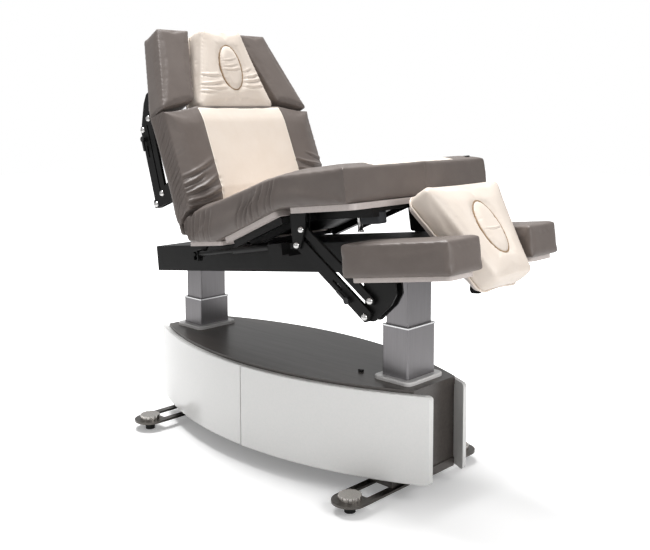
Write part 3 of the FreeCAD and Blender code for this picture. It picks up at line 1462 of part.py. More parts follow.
def centre_leaf(frame, direction, board_level):
    """A near-side hinge lug under a centre board, bored for the section's pin."""
    inner = "(centre_lug_inner + centre_lug_thickness + side_gap)"
    outline = [(f"{-direction} * (centre_eye - 4)", "centre_eye / 2"),
               (f"{direction} * leaf_start", board_level),
               (f"{direction} * leaf_end", board_level),
               (f"{direction} * (centre_eye - 2)", "-centre_eye / 2 - 2")]
    leaf = eye_bar("centre_leaf", frame, inner, "centre_lug_thickness", outline, 0, 0, "centre_eye")
    bore = rod("centre_bore", frame, 0, 0, f"-{inner} - 2 * centre_lug_thickness", f"-{inner} + side_gap",
               "hinge_pin_radius + running_gap")
    return cut("centre_leaf", fuse("centre_leaf", leaf), bore)


def oval_wire(middle, level, grow):
    """The oval outline, its long way along X, grown or drawn in."""
    ellipse = Part.Ellipse(Vector(middle, 0, level), size("oval_half_length") + grow,
                           size("oval_half_width") + grow)
    return Part.Wire([ellipse.toShape()])


def oval(middle, level, height, grow):
    return Part.Face(oval_wire(middle, level, grow)).extrude(Vector(0, 0, height))


def oval_prism(name, frame, middle, level, height, grow):
    return set_shape(name, oval(middle, level, height, grow), frame)


build_base()
build_doors()
build_feet()
build_columns()
build_beam()
build_seat_plate()
build_thigh()
build_front()
build_back()
build_actuator()
build_seat_cushions()
build_back_cushion()
build_rest(("leg", "rest"), (LEG_PIVOT, LEG_ARM, LEG_REST), 1, "leg_arm_length", "leg_rest_start", 0,
           "clamp_along_leg",
           ("leg_rest_length", "leg_slant", "leg_outer_near", "leg_outer_far", "leg_inner_near",
            "leg_inner_far"))
build_rest(("head", "wing"), (WING_PIVOT, WING_ARM, WING_REST), -1, "wing_arm_length", "wing_start",
           "wing_tilt_back", "clamp_along_wing",
           ("wing_length", "wing_slant", "wing_outer_near", "wing_outer_far", "wing_inner_near",
            "wing_inner_far"))
build_centre("foot_centre", FOOT_CENTRE, 1, "foot_centre_start", "centre_length_foot", "foot_centre_board",
             "foot_centre_near", "foot_centre_far")
build_centre("head_centre", HEAD_CENTRE, -1, "head_centre_start", "centre_length_head", "head_centre_board",
             "head_centre_near", "head_centre_far")
doc.recompute()

# Nothing is written unless every object is up to date and every sub-part is a sound solid
for item in doc.Objects:
    if "Invalid" in item.State or "Error" in item.State:
        raise RuntimeError(f"{item.Label} failed: {item.State}")
for node in sub_parts:
    if node.Shape.isNull() or not node.Shape.isValid() or not node.Shape.Solids:
        raise RuntimeError(f"{node.Label} has no sound solid")
os.makedirs("parts", exist_ok=True)
for node in sub_parts:
    node.Shape.exportStep(os.path.join("parts", f"{node.Label}.step"))
    print(node.Label, len(node.Shape.Solids), round(node.Shape.Volume))
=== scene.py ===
# Spa treatment table: upholstery, trim, finishes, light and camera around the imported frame.
# Metres, +X to the foot end, the near side is -Y, +Z up.
# Each cushion is worked in the level frame of its own section, which starts at that section's hinge.
import json
import math
import random

import bmesh
import bpy
import numpy as np
from mathutils import Matrix, Vector
from mathutils.kdtree import KDTree


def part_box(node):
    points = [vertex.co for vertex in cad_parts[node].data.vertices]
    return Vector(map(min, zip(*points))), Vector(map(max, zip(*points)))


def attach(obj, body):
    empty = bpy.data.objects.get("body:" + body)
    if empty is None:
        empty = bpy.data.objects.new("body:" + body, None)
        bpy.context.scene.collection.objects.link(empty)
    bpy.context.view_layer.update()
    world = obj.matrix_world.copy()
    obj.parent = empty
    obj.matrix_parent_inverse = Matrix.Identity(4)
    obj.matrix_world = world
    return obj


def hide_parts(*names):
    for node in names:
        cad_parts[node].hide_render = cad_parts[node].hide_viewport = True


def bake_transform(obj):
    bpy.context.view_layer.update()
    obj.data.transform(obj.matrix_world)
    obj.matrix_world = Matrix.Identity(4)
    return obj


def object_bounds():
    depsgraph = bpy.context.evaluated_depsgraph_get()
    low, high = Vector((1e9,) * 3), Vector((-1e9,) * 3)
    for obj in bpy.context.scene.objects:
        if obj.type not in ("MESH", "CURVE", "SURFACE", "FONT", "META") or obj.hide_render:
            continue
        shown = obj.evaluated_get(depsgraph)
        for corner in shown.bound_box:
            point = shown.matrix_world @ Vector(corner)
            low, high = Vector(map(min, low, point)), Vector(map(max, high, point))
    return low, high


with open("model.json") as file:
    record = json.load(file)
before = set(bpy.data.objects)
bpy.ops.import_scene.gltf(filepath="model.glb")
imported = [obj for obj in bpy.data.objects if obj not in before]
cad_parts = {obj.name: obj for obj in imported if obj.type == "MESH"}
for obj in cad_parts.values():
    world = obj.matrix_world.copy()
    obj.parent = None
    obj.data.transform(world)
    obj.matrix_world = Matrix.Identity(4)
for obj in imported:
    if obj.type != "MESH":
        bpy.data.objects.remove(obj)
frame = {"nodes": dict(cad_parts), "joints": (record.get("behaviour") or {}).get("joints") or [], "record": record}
cad_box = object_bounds()
NODES = frame["nodes"]
HINGES = {joint["name"]: Vector(joint["pos_m"]) for joint in frame["joints"] if "pos_m" in joint}
SLOT_OF = {row["node"]: row["material_slot"] for row in frame["record"]["subparts"]}
MM = 0.001
STEMS = ("leg_near_rest", "leg_far_rest", "head_near_wing", "head_far_wing")
chance = random.Random(41)


# Level frames of the sections, turned about Y as they stand at rest
DECK_TURN = -6.81
THIGH_TURN = -23.66
BACK_TURN = 67.39
WING_TURN = 61.59
FOOT_CENTRE_TURN = 52.89
HEAD_CENTRE_TURN = 70.99


def level_frame(hinge, turn):
    """Matrix of a section's level frame: at the hinge, on the middle plane, turned about Y."""
    place = HINGES[hinge]
    return Matrix.Translation((place.x, 0, place.z)) @ Matrix.Rotation(math.radians(turn), 4, "Y")


DECK = Matrix.Rotation(math.radians(DECK_TURN), 4, "Y")
THIGH = level_frame("thigh_tilt", THIGH_TURN)
FRONT = level_frame("front_level", DECK_TURN)
BACK = level_frame("back_recline", BACK_TURN)
LEG_REST = level_frame("leg_near_rest_level", DECK_TURN)
WING_REST = level_frame("head_near_wing_level", WING_TURN)
FOOT_CENTRE = level_frame("foot_centre_tilt", FOOT_CENTRE_TURN)
HEAD_CENTRE = level_frame("head_centre_tilt", HEAD_CENTRE_TURN)


# Materials
def linear(colour):
    """An sRGB hex colour as linear red, green, blue and alpha."""
    parts = [int(colour[place:place + 2], 16) / 255 for place in (1, 3, 5)]
    flat = [part / 12.92 if part <= 0.04045 else ((part + 0.055) / 1.055) ** 2.4 for part in parts]
    return (*flat, 1.0)


def add_node(material, kind, settings=None, **inputs):
    """A node of that kind with its settings; an input is a value, or another node's output to link."""
    node = material.node_tree.nodes.new(kind)
    for name, value in (settings or {}).items():
        setattr(node, name, value)
    for name, value in inputs.items():
        socket = node.inputs[int(name[1:])] if name[1:].isdigit() else node.inputs[name.replace("_", " ")]
        if isinstance(value, bpy.types.NodeSocket):
            material.node_tree.links.new(value, socket)
        else:
            socket.default_value = value
    return node


def new_material(name, **values):
    """A material with one Principled shader; the values go on the shader's own sockets."""
    material = bpy.data.materials.new(name)
    material.use_nodes = True
    shader = material.node_tree.nodes["Principled BSDF"]
    for key, value in values.items():
        shader.inputs[key.replace("_", " ")].default_value = value
    return material, shader


def link(material, output, socket):
    material.node_tree.links.new(output, socket)


def per_metre(millimetres):
    """Pattern scale for a repeat of that many millimetres on Object coordinates in metres."""
    return 1000 / millimetres


def shades(material, pattern, dark, light, low=0.0, high=1.0):
    """A colour that goes from a dark to a light shade between two values of a pattern."""
    ramp = add_node(material, "ShaderNodeValToRGB", Fac=pattern)
    ramp.color_ramp.elements[0].position = low
    ramp.color_ramp.elements[0].color = linear(dark)
    ramp.color_ramp.elements[1].position = high
    ramp.color_ramp.elements[1].color = linear(light)
    return ramp.outputs["Color"]


def spread(material, shader, coordinates, size, dark, light, low=0.35, high=0.65):
    """Lets the colour drift between two shades over patches of that size."""
    noise = add_node(material, "ShaderNodeTexNoise", Vector=coordinates, Scale=per_metre(size), Detail=4.0)
    colour = shades(material, noise.outputs["Fac"], dark, light, low, high)
    link(material, colour, shader.inputs["Base Color"])
    return colour


def rough(material, shader, coordinates, size, low, high):
    """Lets the roughness drift between two values over patches of that size."""
    noise = add_node(material, "ShaderNodeTexNoise", Vector=coordinates, Scale=per_metre(size), Detail=3.0)
    reach = add_node(material, "ShaderNodeMapRange", Value=noise.outputs["Fac"], To_Min=low, To_Max=high)
    link(material, reach.outputs["Result"], shader.inputs["Roughness"])


def raised(material, shader, height, strength, depth):
    """Raises the surface by a pattern, depth in millimetres."""
    bump = add_node(material, "ShaderNodeBump", Height=height, Strength=strength, Distance=depth * MM)
    link(material, bump.outputs["Normal"], shader.inputs["Normal"])


def object_place(material):
    return add_node(material, "ShaderNodeTexCoord").outputs["Object"]


def stretched(material, coordinates, scale):
    """Object coordinates drawn out along one way, for brushing and wood grain."""
    mapping = add_node(material, "ShaderNodeMapping", Vector=coordinates, Scale=scale)
    return mapping.outputs["Vector"]


# Polyurethane leathercloth, embossed with a pebble grain: a soft satin sheen, and grain that breaks it up.
# The grain is 1 mm on the real cover and is drawn at 2 mm, so that it shows.
GRAIN_SIZE = 2.0
SLACK_SIZE = 26
SLACK_SHARE = 2.2
SHADE_PATCH = 90


def leather_grain(material, shader, place):
    """Pebbles over the slow unevenness of a stretched cover."""
    pebbles = add_node(material, "ShaderNodeTexVoronoi", {"feature": "SMOOTH_F1"}, Vector=place,
                       Scale=per_metre(GRAIN_SIZE), Smoothness=0.6)
    slack = add_node(material, "ShaderNodeTexNoise", Vector=place, Scale=per_metre(SLACK_SIZE), Detail=3.0)
    height = add_node(material, "ShaderNodeMath", {"operation": "MULTIPLY_ADD"}, _0=slack.outputs["Fac"],
                      _1=SLACK_SHARE, _2=pebbles.outputs["Distance"])
    raised(material, shader, height.outputs["Value"], strength=0.45, depth=0.5)
    rough(material, shader, place, size=60, low=0.42, high=0.50)


def leathercloth(name, dark, light):
    material, shader = new_material(name, Specular_IOR_Level=0.5, Sheen_Weight=0.04, Sheen_Roughness=0.5)
    place = object_place(material)
    spread(material, shader, place, SHADE_PATCH, dark, light)
    leather_grain(material, shader, place)
    return material


TAUPE_DARK = "#5e5550"
TAUPE_LIGHT = "#645b56"
CREAM_DARK = "#d9cdc1"
CREAM_LIGHT = "#dcd1c6"
# Painted light at the seam: a light colour for the highlight on the cream's edge, a dark colour for the shade on
# the taupe side
SEAM_PAINTED_HIGHLIGHT = "#efe6da"
SEAM_PAINTED_SHADE = "#514844"
SEAM_BLUR = 0.0003


def band(material, value, middle, half_width):
    """1 within a narrow band of a value around a middle, falling to 0 at twice its half width."""
    apart = add_node(material, "ShaderNodeMath", {"operation": "SUBTRACT"}, _0=value, _1=middle)
    away = add_node(material, "ShaderNodeMath", {"operation": "ABSOLUTE"}, _0=apart.outputs["Value"])
    reach = add_node(material, "ShaderNodeMapRange", Value=away.outputs["Value"], From_Min=half_width,
                     From_Max=2 * half_width, To_Min=1.0, To_Max=0.0)
    return reach.outputs["Result"]


def mixed(material, share, first, second):
    """Two colours mixed by a share, as a colour output."""
    return add_node(material, "ShaderNodeMix", {"data_type": "RGBA"}, Factor=share, _6=first,
                    _7=second).outputs[2]


def two_tone_leathercloth():
    """Cream panel sewn into taupe: the colour changes at the seam, whose distance the cover carries. A painted
    highlight lies along the cream's edge and painted shade along the taupe side of the seam.
    """
    material, shader = new_material("leathercloth_cream_in_taupe", Specular_IOR_Level=0.5, Sheen_Weight=0.04,
                                    Sheen_Roughness=0.5)
    place = object_place(material)
    cream = spread(material, shader, place, SHADE_PATCH, CREAM_DARK, CREAM_LIGHT)
    taupe = spread(material, shader, place, SHADE_PATCH, TAUPE_DARK, TAUPE_LIGHT)
    offset = add_node(material, "ShaderNodeAttribute", {"attribute_name": "seam_offset"}).outputs["Fac"]
    inside = add_node(material, "ShaderNodeMapRange", Value=offset, From_Min=-SEAM_BLUR, From_Max=SEAM_BLUR)
    panels = mixed(material, inside.outputs["Result"], taupe, cream)
    # A painted highlight along the cream's edge, then painted shade in the seam on the taupe side
    painted_highlight_band = band(material, offset, middle=0.0018, half_width=0.0010)
    with_painted_highlight = mixed(material, painted_highlight_band, panels, linear(SEAM_PAINTED_HIGHLIGHT))
    shade = band(material, offset, middle=-0.0010, half_width=0.0008)
    panels_with_painted_seam_light = mixed(material, shade, with_painted_highlight, linear(SEAM_PAINTED_SHADE))
    link(material, panels_with_painted_seam_light, shader.inputs["Base Color"])
    leather_grain(material, shader, place)
    return material


def powder_coat(name, dark, light, roughness):
    """Baked powder coat: an even satin skin with a fine orange peel of about 1.5 mm."""
    material, shader = new_material(name, Specular_IOR_Level=0.2)
    place = object_place(material)
    spread(material, shader, place, size=40, dark=dark, light=light)
    peel = add_node(material, "ShaderNodeTexNoise", Vector=place, Scale=per_metre(1.5), Detail=2.0)
    raised(material, shader, peel.outputs["Fac"], strength=0.25, depth=0.15)
    rough(material, shader, place, size=25, low=roughness - 0.05, high=roughness + 0.05)
    return material


def brushed_metal(name, dull, bright, grain, roughness, tone):
    """Brushed or drawn metal: fine lines along the grain that spread the highlight across them."""
    material, shader = new_material(name, Metallic=1.0)
    place = object_place(material)
    lines = stretched(material, place, grain)
    strokes = add_node(material, "ShaderNodeTexNoise", Vector=lines, Scale=per_metre(1.4), Detail=3.0)
    colour = shades(material, strokes.outputs["Fac"], dull, bright, low=0.5 - tone, high=0.5 + tone)
    link(material, colour, shader.inputs["Base Color"])
    raised(material, shader, strokes.outputs["Fac"], strength=0.08, depth=0.1)
    rough(material, shader, lines, size=8, low=roughness - 0.06, high=roughness + 0.06)
    return material


def laminate():
    """Printed dark wood laminate: a satin film with faint straight grain along the base, 9 mm wide."""
    material, shader = new_material("dark_wood_laminate", Specular_IOR_Level=0.6)
    place = object_place(material)
    along = stretched(material, place, (0.06, 1.0, 1.0))
    grain = add_node(material, "ShaderNodeTexNoise", Vector=along, Scale=per_metre(9), Detail=6.0,
                     Roughness=0.65)
    colour = shades(material, grain.outputs["Fac"], "#3c3835", "#504a46", low=0.3, high=0.72)
    link(material, colour, shader.inputs["Base Color"])
    raised(material, shader, grain.outputs["Fac"], strength=0.12, depth=0.2)
    rough(material, shader, along, size=30, low=0.28, high=0.38)
    return material


def gloss_panel():
    """White lacquered board: a hard gloss with a very slow waviness, which bends the reflections."""
    material, shader = new_material("white_gloss_lacquer", Coat_Weight=0.4, Coat_Roughness=0.08)
    place = object_place(material)
    spread(material, shader, place, size=8, dark="#d9d9d7", light="#dcdbd9")
    waves = add_node(material, "ShaderNodeTexNoise", Vector=place, Scale=per_metre(160), Detail=1.0)
    raised(material, shader, waves.outputs["Fac"], strength=0.02, depth=0.6)
    rough(material, shader, place, size=240, low=0.27, high=0.29)
    return material


def melamine():
    """Melamine-faced board: a pale matt face with a fine speckle of about 2 mm. Its colour is set darker than the
    board's own, partly as painted shade where the boards lie under the cushions.
    """
    material, shader = new_material("melamine_board_with_painted_shade", Specular_IOR_Level=0.4)
    place = object_place(material)
    # Darker than the board's own colour: partly painted shade from the cushions above
    spread(material, shader, place, size=6, dark="#b9b0ac", light="#c3bab6", low=0.3, high=0.7)
    speckle = add_node(material, "ShaderNodeTexNoise", Vector=place, Scale=per_metre(2), Detail=2.0)
    raised(material, shader, speckle.outputs["Fac"], strength=0.1, depth=0.1)
    rough(material, shader, place, size=40, low=0.42, high=0.55)
    return material


# Heights above the floor where a finish changes on one piece, and half the width of that change
PAD_TOP = 0.024
FLANGE_TOP = 0.401
CHANGE_HALF_WIDTH = 0.0002


def above(material, height, level):
    """1 above a level of the piece and 0 below it."""
    return add_node(material, "ShaderNodeMapRange", Value=height, From_Min=level - CHANGE_HALF_WIDTH,
                    From_Max=level + CHANGE_HALF_WIDTH).outputs["Result"]


def levelling_foot():
    """Turned steel disc over a moulded rubber pad."""
    material, shader = new_material("turned_steel_on_rubber")
    place = object_place(material)
    height = add_node(material, "ShaderNodeSeparateXYZ", Vector=place).outputs["Z"]
    steel = above(material, height, PAD_TOP)
    rings = add_node(material, "ShaderNodeTexNoise", Vector=place, Scale=per_metre(3), Detail=3.0)
    shine = shades(material, rings.outputs["Fac"], "#a9a49f", "#d6d2cd")
    link(material, mixed(material, steel, linear("#1a1a1a"), shine), shader.inputs["Base Color"])
    link(material, steel, shader.inputs["Metallic"])
    matt = add_node(material, "ShaderNodeMapRange", Value=steel, To_Min=0.8, To_Max=0.26)
    link(material, matt.outputs["Result"], shader.inputs["Roughness"])
    return material


def column_metal(name, top):
    """Anodised tube: even satin metal, a bright band at its top rim as a painted highlight, and a pale coated
    flange at its foot.
    """
    material, shader = new_material(name)
    place = object_place(material)
    height = add_node(material, "ShaderNodeSeparateXYZ", Vector=place).outputs["Z"]
    drawn = stretched(material, place, (1.0, 1.0, 0.03))
    strokes = add_node(material, "ShaderNodeTexNoise", Vector=drawn, Scale=per_metre(3), Detail=2.0)
    tube = mixed(material, strokes.outputs["Fac"], linear("#7a7879"), linear("#868486"))
    # Painted highlight: a bright band in the base colour just under the tube's top rim
    rim = band(material, height, middle=top - 0.002, half_width=0.0015)
    tube_with_rim_highlight = mixed(material, rim, tube, linear("#e9e9ea"))
    bare = above(material, height, FLANGE_TOP)
    link(material, mixed(material, bare, linear("#e4e2e0"), tube_with_rim_highlight), shader.inputs["Base Color"])
    link(material, bare, shader.inputs["Metallic"])
    rough(material, shader, drawn, size=10, low=0.30, high=0.38)
    return material


def moulded_plastic():
    """Injection-moulded black plastic: satin, with a fine spark-eroded texture of about 1 mm."""
    material, shader = new_material("moulded_black_plastic", Specular_IOR_Level=0.45)
    place = object_place(material)
    spread(material, shader, place, size=30, dark="#0f0f10", light="#161617")
    texture = add_node(material, "ShaderNodeTexNoise", Vector=place, Scale=per_metre(1), Detail=2.0)
    raised(material, shader, texture.outputs["Fac"], strength=0.2, depth=0.1)
    rough(material, shader, place, size=20, low=0.34, high=0.46)
    return material


TAUPE = leathercloth("leathercloth_taupe", TAUPE_DARK, TAUPE_LIGHT)
CREAM = leathercloth("leathercloth_cream", CREAM_DARK, CREAM_LIGHT)
# Tan piping round the plugs, its colour darkened to also paint the shade in the gap beside it
TAN_PIPING_AND_GAP_SHADE = leathercloth("leathercloth_tan_piping_and_gap_shade", "#8d7355", "#9a8062")
TWO_TONE = two_tone_leathercloth()
BLACK_COAT = powder_coat("black_powder_coat", "#0b0b0b", "#101010", roughness=0.44)
GREY_COAT = powder_coat("dark_grey_powder_coat", "#35373a", "#3d3f42", roughness=0.5)
STAINLESS = brushed_metal("brushed_stainless_steel", "#4b4946", "#6f6b67", grain=(1.0, 0.03, 1.0),
                          roughness=0.3, tone=0.28)
POLISHED = brushed_metal("polished_steel", "#b5b4b3", "#dddcdb", grain=(1.0, 1.0, 1.0),
                         roughness=0.14, tone=0.3)
PLASTIC = moulded_plastic()
FINISHES = {
    "taupe_leatherette": TAUPE,
    "cream_leatherette": CREAM,
    "dark_laminate": laminate(),
    "white_gloss_door": gloss_panel(),
    "pale_board": melamine(),
    "black_powder_coat": BLACK_COAT,
    "stainless_steel": STAINLESS,
    "black_plastic": PLASTIC,
    "levelling_steel": levelling_foot(),
}


def coat(piece, material):
    piece.data.materials.clear()
    piece.data.materials.append(material)


for node_name, node in NODES.items():
    if "column" in node_name:
        coat(node, column_metal(f"anodised_{node_name}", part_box(node_name)[1].z))
    else:
        coat(node, FINISHES[SLOT_OF[node_name]])


# Meshes as arrays
def points_of(piece):
    flat = np.zeros(len(piece.data.vertices) * 3)
    piece.data.vertices.foreach_get("co", flat)
    return flat.reshape(-1, 3)


def normals_of(piece):
    flat = np.zeros(len(piece.data.vertices) * 3, np.float32)
    piece.data.vertex_normals.foreach_get("vector", flat)
    return flat.reshape(-1, 3).astype(float)


def set_points(piece, points):
    piece.data.vertices.foreach_set("co", points.reshape(-1))
    piece.data.update()


def in_frame(points, matrix):
    """World points in a section's level frame."""
    inverse = np.array(matrix.inverted())
    return points @ inverse[:3, :3].T + inverse[:3, 3]


def in_world(points, matrix):
    """Points of a section's level frame in the world."""
    turn = np.array(matrix)
    return points @ turn[:3, :3].T + turn[:3, 3]


def set_attribute(piece, name, values):
    attribute = piece.data.attributes.new(name, "FLOAT", "POINT")
    attribute.data.foreach_set("value", values.astype(np.float32))


def new_piece(name, shape, material):
    """A piece from a bmesh, at the origin, smooth shaded."""
    mesh = bpy.data.meshes.new(name)
    shape.to_mesh(mesh)
    shape.free()
    piece = bpy.data.objects.new(name, mesh)
    bpy.context.scene.collection.objects.link(piece)
    mesh.polygons.foreach_set("use_smooth", [True] * len(mesh.polygons))
    coat(piece, material)
    return piece


def work_in(piece):
    """Replaces the piece's mesh by the one its modifiers give."""
    graph = bpy.context.evaluated_depsgraph_get()
    mesh = bpy.data.meshes.new_from_object(piece.evaluated_get(graph))
    piece.modifiers.clear()
    old = piece.data
    piece.data = mesh
    bpy.data.meshes.remove(old)
    mesh.polygons.foreach_set("use_smooth", [True] * len(mesh.polygons))


# Cushions
MERGE_DISTANCE = 1e-5


def bridge(shape, node_names, place, normal, reach):
    """Fills the gap between the facing ends of two cushions with the hull of their end points."""
    ends = []
    for node_name in node_names:
        for vertex in NODES[node_name].data.vertices:
            if abs((vertex.co - place).dot(normal)) < reach:
                ends.append(shape.verts.new(vertex.co))
    hull = bmesh.ops.convex_hull(shape, input=ends)
    spare = {part for part in hull["geom_interior"] + hull["geom_unused"]
             if isinstance(part, bmesh.types.BMVert)}
    bmesh.ops.delete(shape, geom=list(spare), context="VERTS")


def remesh_by(piece, voxel):
    remesh = piece.modifiers.new("remesh", "REMESH")
    remesh.mode = "VOXEL"
    remesh.voxel_size = voxel
    work_in(piece)


def cushion_copy(name, node_names, voxel, material, joins=()):
    """One closed cover around copies of CAD cushions, joined over the folds between them."""
    shape = bmesh.new()
    for node_name in node_names:
        shape.from_mesh(NODES[node_name].data)
    bmesh.ops.remove_doubles(shape, verts=shape.verts, dist=MERGE_DISTANCE)
    for pair, place, normal, reach in joins:
        bridge(shape, pair, place, normal, reach)
    piece = new_piece(name, shape, material)
    remesh_by(piece, voxel)
    coat(piece, material)
    return piece


def soften(piece, rounds):
    smooth = piece.modifiers.new("smooth", "SMOOTH")
    smooth.factor = 0.5
    smooth.iterations = rounds
    work_in(piece)


CLOTH_FRAMES = 20
CLOTH_QUALITY = 4
CLOTH_PRESSURE = 4


def plump(piece, held, inset, limit):
    """Draws the cover in, then lets air pressure swell it as cloth, held where it lies on its board."""
    start = points_of(piece)
    drawn_in = start - normals_of(piece) * inset * (1 - held)[:, None]
    set_points(piece, drawn_in)
    group = piece.vertex_groups.new(name="held")
    group.add([int(number) for number in np.flatnonzero(held > 0.5)], 1.0, "REPLACE")
    cloth = piece.modifiers.new("cloth", "CLOTH")
    cloth.settings.vertex_group_mass = "held"
    cloth.settings.quality = CLOTH_QUALITY
    cloth.settings.use_pressure = True
    cloth.settings.uniform_pressure_force = CLOTH_PRESSURE
    cloth.settings.effector_weights.gravity = 0
    cloth.point_cache.frame_start = 1
    cloth.point_cache.frame_end = CLOTH_FRAMES
    scene = bpy.context.scene
    for number in range(1, CLOTH_FRAMES + 1):
        scene.frame_set(number)
    graph = bpy.context.evaluated_depsgraph_get()
    swollen = points_of(piece.evaluated_get(graph))
    piece.modifiers.clear()
    piece.vertex_groups.clear()
    scene.frame_set(1)
    move = swollen - drawn_in
    length = np.maximum(np.linalg.norm(move, axis=1), 1e-9)
    set_points(piece, drawn_in + move * (limit * np.tanh(length / limit) / length)[:, None])


def divide(piece):
    """One subdivision, worked into the mesh."""
    finer = piece.modifiers.new("finer", "SUBSURF")
    finer.levels = 1
    finer.render_levels = 1
    work_in(piece)


def push(piece, heights):
    """Moves the cover along its own normals."""
    set_points(piece, points_of(piece) + normals_of(piece) * heights[:, None])


# A fold bows by a share of its length and fades out past its ends. A ridge lies beside its valley.
FOLD_BOW = 0.05
FOLD_FADE = 0.012
RIDGE_HEIGHT = 0.8
RIDGE_PLACE = 1.8
RIDGE_WIDTH = 1.1


def fold_heights(across, along, lines):
    """Heights of folds drawn on a panel: each line is a start, a finish, a depth and a width."""
    heights = np.zeros(len(across))
    for start, finish, depth, width in lines:
        run = np.array(finish) - np.array(start)
        length = np.hypot(*run)
        way = run / length
        out_x = across - start[0]
        out_y = along - start[1]
        share = np.clip((out_x * way[0] + out_y * way[1]) / length, 0, 1)
        beside = out_x * way[1] - out_y * way[0] + FOLD_BOW * length * np.sin(math.pi * share)
        past = np.maximum(0, np.abs((out_x * way[0] + out_y * way[1]) / length - 0.5) - 0.5) * length
        swell = np.sin(math.pi * np.clip(0.06 + 0.88 * share, 0, 1)) ** 0.6
        fade = swell * np.exp(-((past / FOLD_FADE) ** 2))
        spread_out = width * (0.75 + 0.5 * share)
        valley = np.exp(-((beside / spread_out) ** 2))
        ridge = np.exp(-(((beside - RIDGE_PLACE * spread_out) / (RIDGE_WIDTH * spread_out)) ** 2))
        heights += fade * (RIDGE_HEIGHT * depth * ridge - depth * valley)
    return heights


def facing(normals, matrix, direction):
    """How far each point of a cover faces a direction of its section, 0 to 1."""
    way = np.array(matrix.to_3x3() @ Vector(direction))
    return np.clip(normals @ way, 0, 1)


BOARD_FACING = 0.6
BOARD_FACING_BLEND = 0.3


def on_board(piece, matrix):
    """1 where the cover lies flat on its board, 0 elsewhere."""
    down = facing(normals_of(piece), matrix, (0, 0, -1))
    return np.clip((down - BOARD_FACING) / BOARD_FACING_BLEND, 0, 1)


TUCK_START = 0.24
TUCK_BLEND = 0.12


def tuck(piece, matrix, level, depth, amount):
    """Draws the sides in below a level, as a cover is pulled round its board and stapled."""
    points = points_of(piece)
    local = in_frame(points, matrix)
    below = np.clip((level - local[:, 2]) / depth, 0, 1) ** 2
    side = np.clip((np.abs(local[:, 1]) - TUCK_START) / TUCK_BLEND, 0, 1)
    points[:, 1] -= np.sign(points[:, 1]) * amount * below * side
    set_points(piece, points)


SEAM_HALF_WIDTH = 0.216
THIGH_HINGE = Vector((HINGES["thigh_tilt"].x, 0, HINGES["thigh_tilt"].z))
FRONT_HINGE = Vector((HINGES["front_level"].x, 0, HINGES["front_level"].z))
SEAT_WAY = DECK.to_3x3() @ Vector((1, 0, 0))
THIGH_WAY = THIGH.to_3x3() @ Vector((1, 0, 0))
FOLD_NORMAL = (SEAT_WAY + THIGH_WAY).normalized()

# The seat ends at the rear in a round nose, which the lower end of the back lies against
NOSE_ALONG = -0.057
NOSE_LEVEL = 0.8975
NOSE_RADIUS = 0.056
NOSE_GAP = 0.0015
NOSE_BLEND = 2.5
NOSE_ANGLES = np.linspace(0, math.pi, 37)
ANGLE_WINDOW = 0.06

# The back is shaped within a reach of the nose's middle line, and its lower lip is turned up
BACK_REACH = 0.15
BACK_BLEND = 0.07
BACK_WALL = 0.03
LIP_ANGLE = 1.05
LIP_TURN = 0.45
BACK_ANGLES = np.linspace(-0.1, 1.8, 39)


def nose_polar(points):
    """Distance from the nose's middle line, and the angle turned back from straight up."""
    local = in_frame(points, DECK)
    backward = NOSE_ALONG - local[:, 0]
    upward = local[:, 2] - NOSE_LEVEL
    return np.hypot(backward, upward), np.arctan2(backward, upward)


def around_nose(points, distance, angle):
    """The points put at that distance and angle from the nose's middle line."""
    local = in_frame(points, DECK)
    local[:, 0] = NOSE_ALONG - distance * np.sin(angle)
    local[:, 2] = NOSE_LEVEL + distance * np.cos(angle)
    return in_world(local, DECK)


def edge_by_angle(distance, angle, steps, pick, otherwise):
    """The nearest or furthest distance found around each angle."""
    edge = []
    for step in steps:
        found = distance[np.abs(angle - step) < ANGLE_WINDOW]
        edge.append(pick(found) if len(found) else otherwise)
    return edge


def round_nose(piece):
    """Rounds the rear end of the seat, as foam does under a tight cover."""
    points = points_of(piece)
    distance, angle = nose_polar(points)
    edge = edge_by_angle(distance, angle, NOSE_ANGLES, np.max, NOSE_RADIUS)
    share = np.clip(NOSE_BLEND * np.sin(angle), 0, 1)
    scale = 1 + share * (NOSE_RADIUS / np.interp(angle, NOSE_ANGLES, edge) - 1)
    set_points(piece, around_nose(points, distance * scale, angle))


def fit_to_nose(piece):
    """Shapes the lower end of the back to lie against the nose."""
    points = points_of(piece)
    distance, angle = nose_polar(points)
    near = np.clip((BACK_REACH - distance) / BACK_BLEND, 0, 1)
    near = near * near * (3 - 2 * near)
    angle = angle - near * LIP_TURN * np.maximum(angle - LIP_ANGLE, 0)
    close = distance < BACK_REACH
    contact = NOSE_RADIUS + NOSE_GAP
    edge = edge_by_angle(distance[close], angle[close], BACK_ANGLES, np.min, contact)
    inner = np.minimum(np.interp(angle, BACK_ANGLES, edge), BACK_REACH - BACK_WALL)
    drawn = contact + (distance - inner) * (BACK_REACH - contact) / (BACK_REACH - inner)
    set_points(piece, around_nose(points, np.where(close, drawn, distance), angle))


HALF_WIDTH = cad_box[1][1]
CORNER_REACH = 0.045
CORNER_DRAW = 0.009


def draw_out(piece, matrix, along):
    """Draws the cover out to a sharper corner at a place along its section, on both sides."""
    local = in_frame(points_of(piece), matrix)
    for side in (-1, 1):
        towards = np.array((along, side * HALF_WIDTH)) - local[:, :2]
        distance = np.maximum(np.hypot(towards[:, 0], towards[:, 1]), 1e-6)
        share = np.clip(1 - distance / CORNER_REACH, 0, 1)
        local[:, :2] += towards * (np.minimum(CORNER_DRAW * share, distance) / distance)[:, None]
    set_points(piece, in_world(local, matrix))


SEAM_DEPTH = 0.0022
SEAM_WIDTH = 0.005


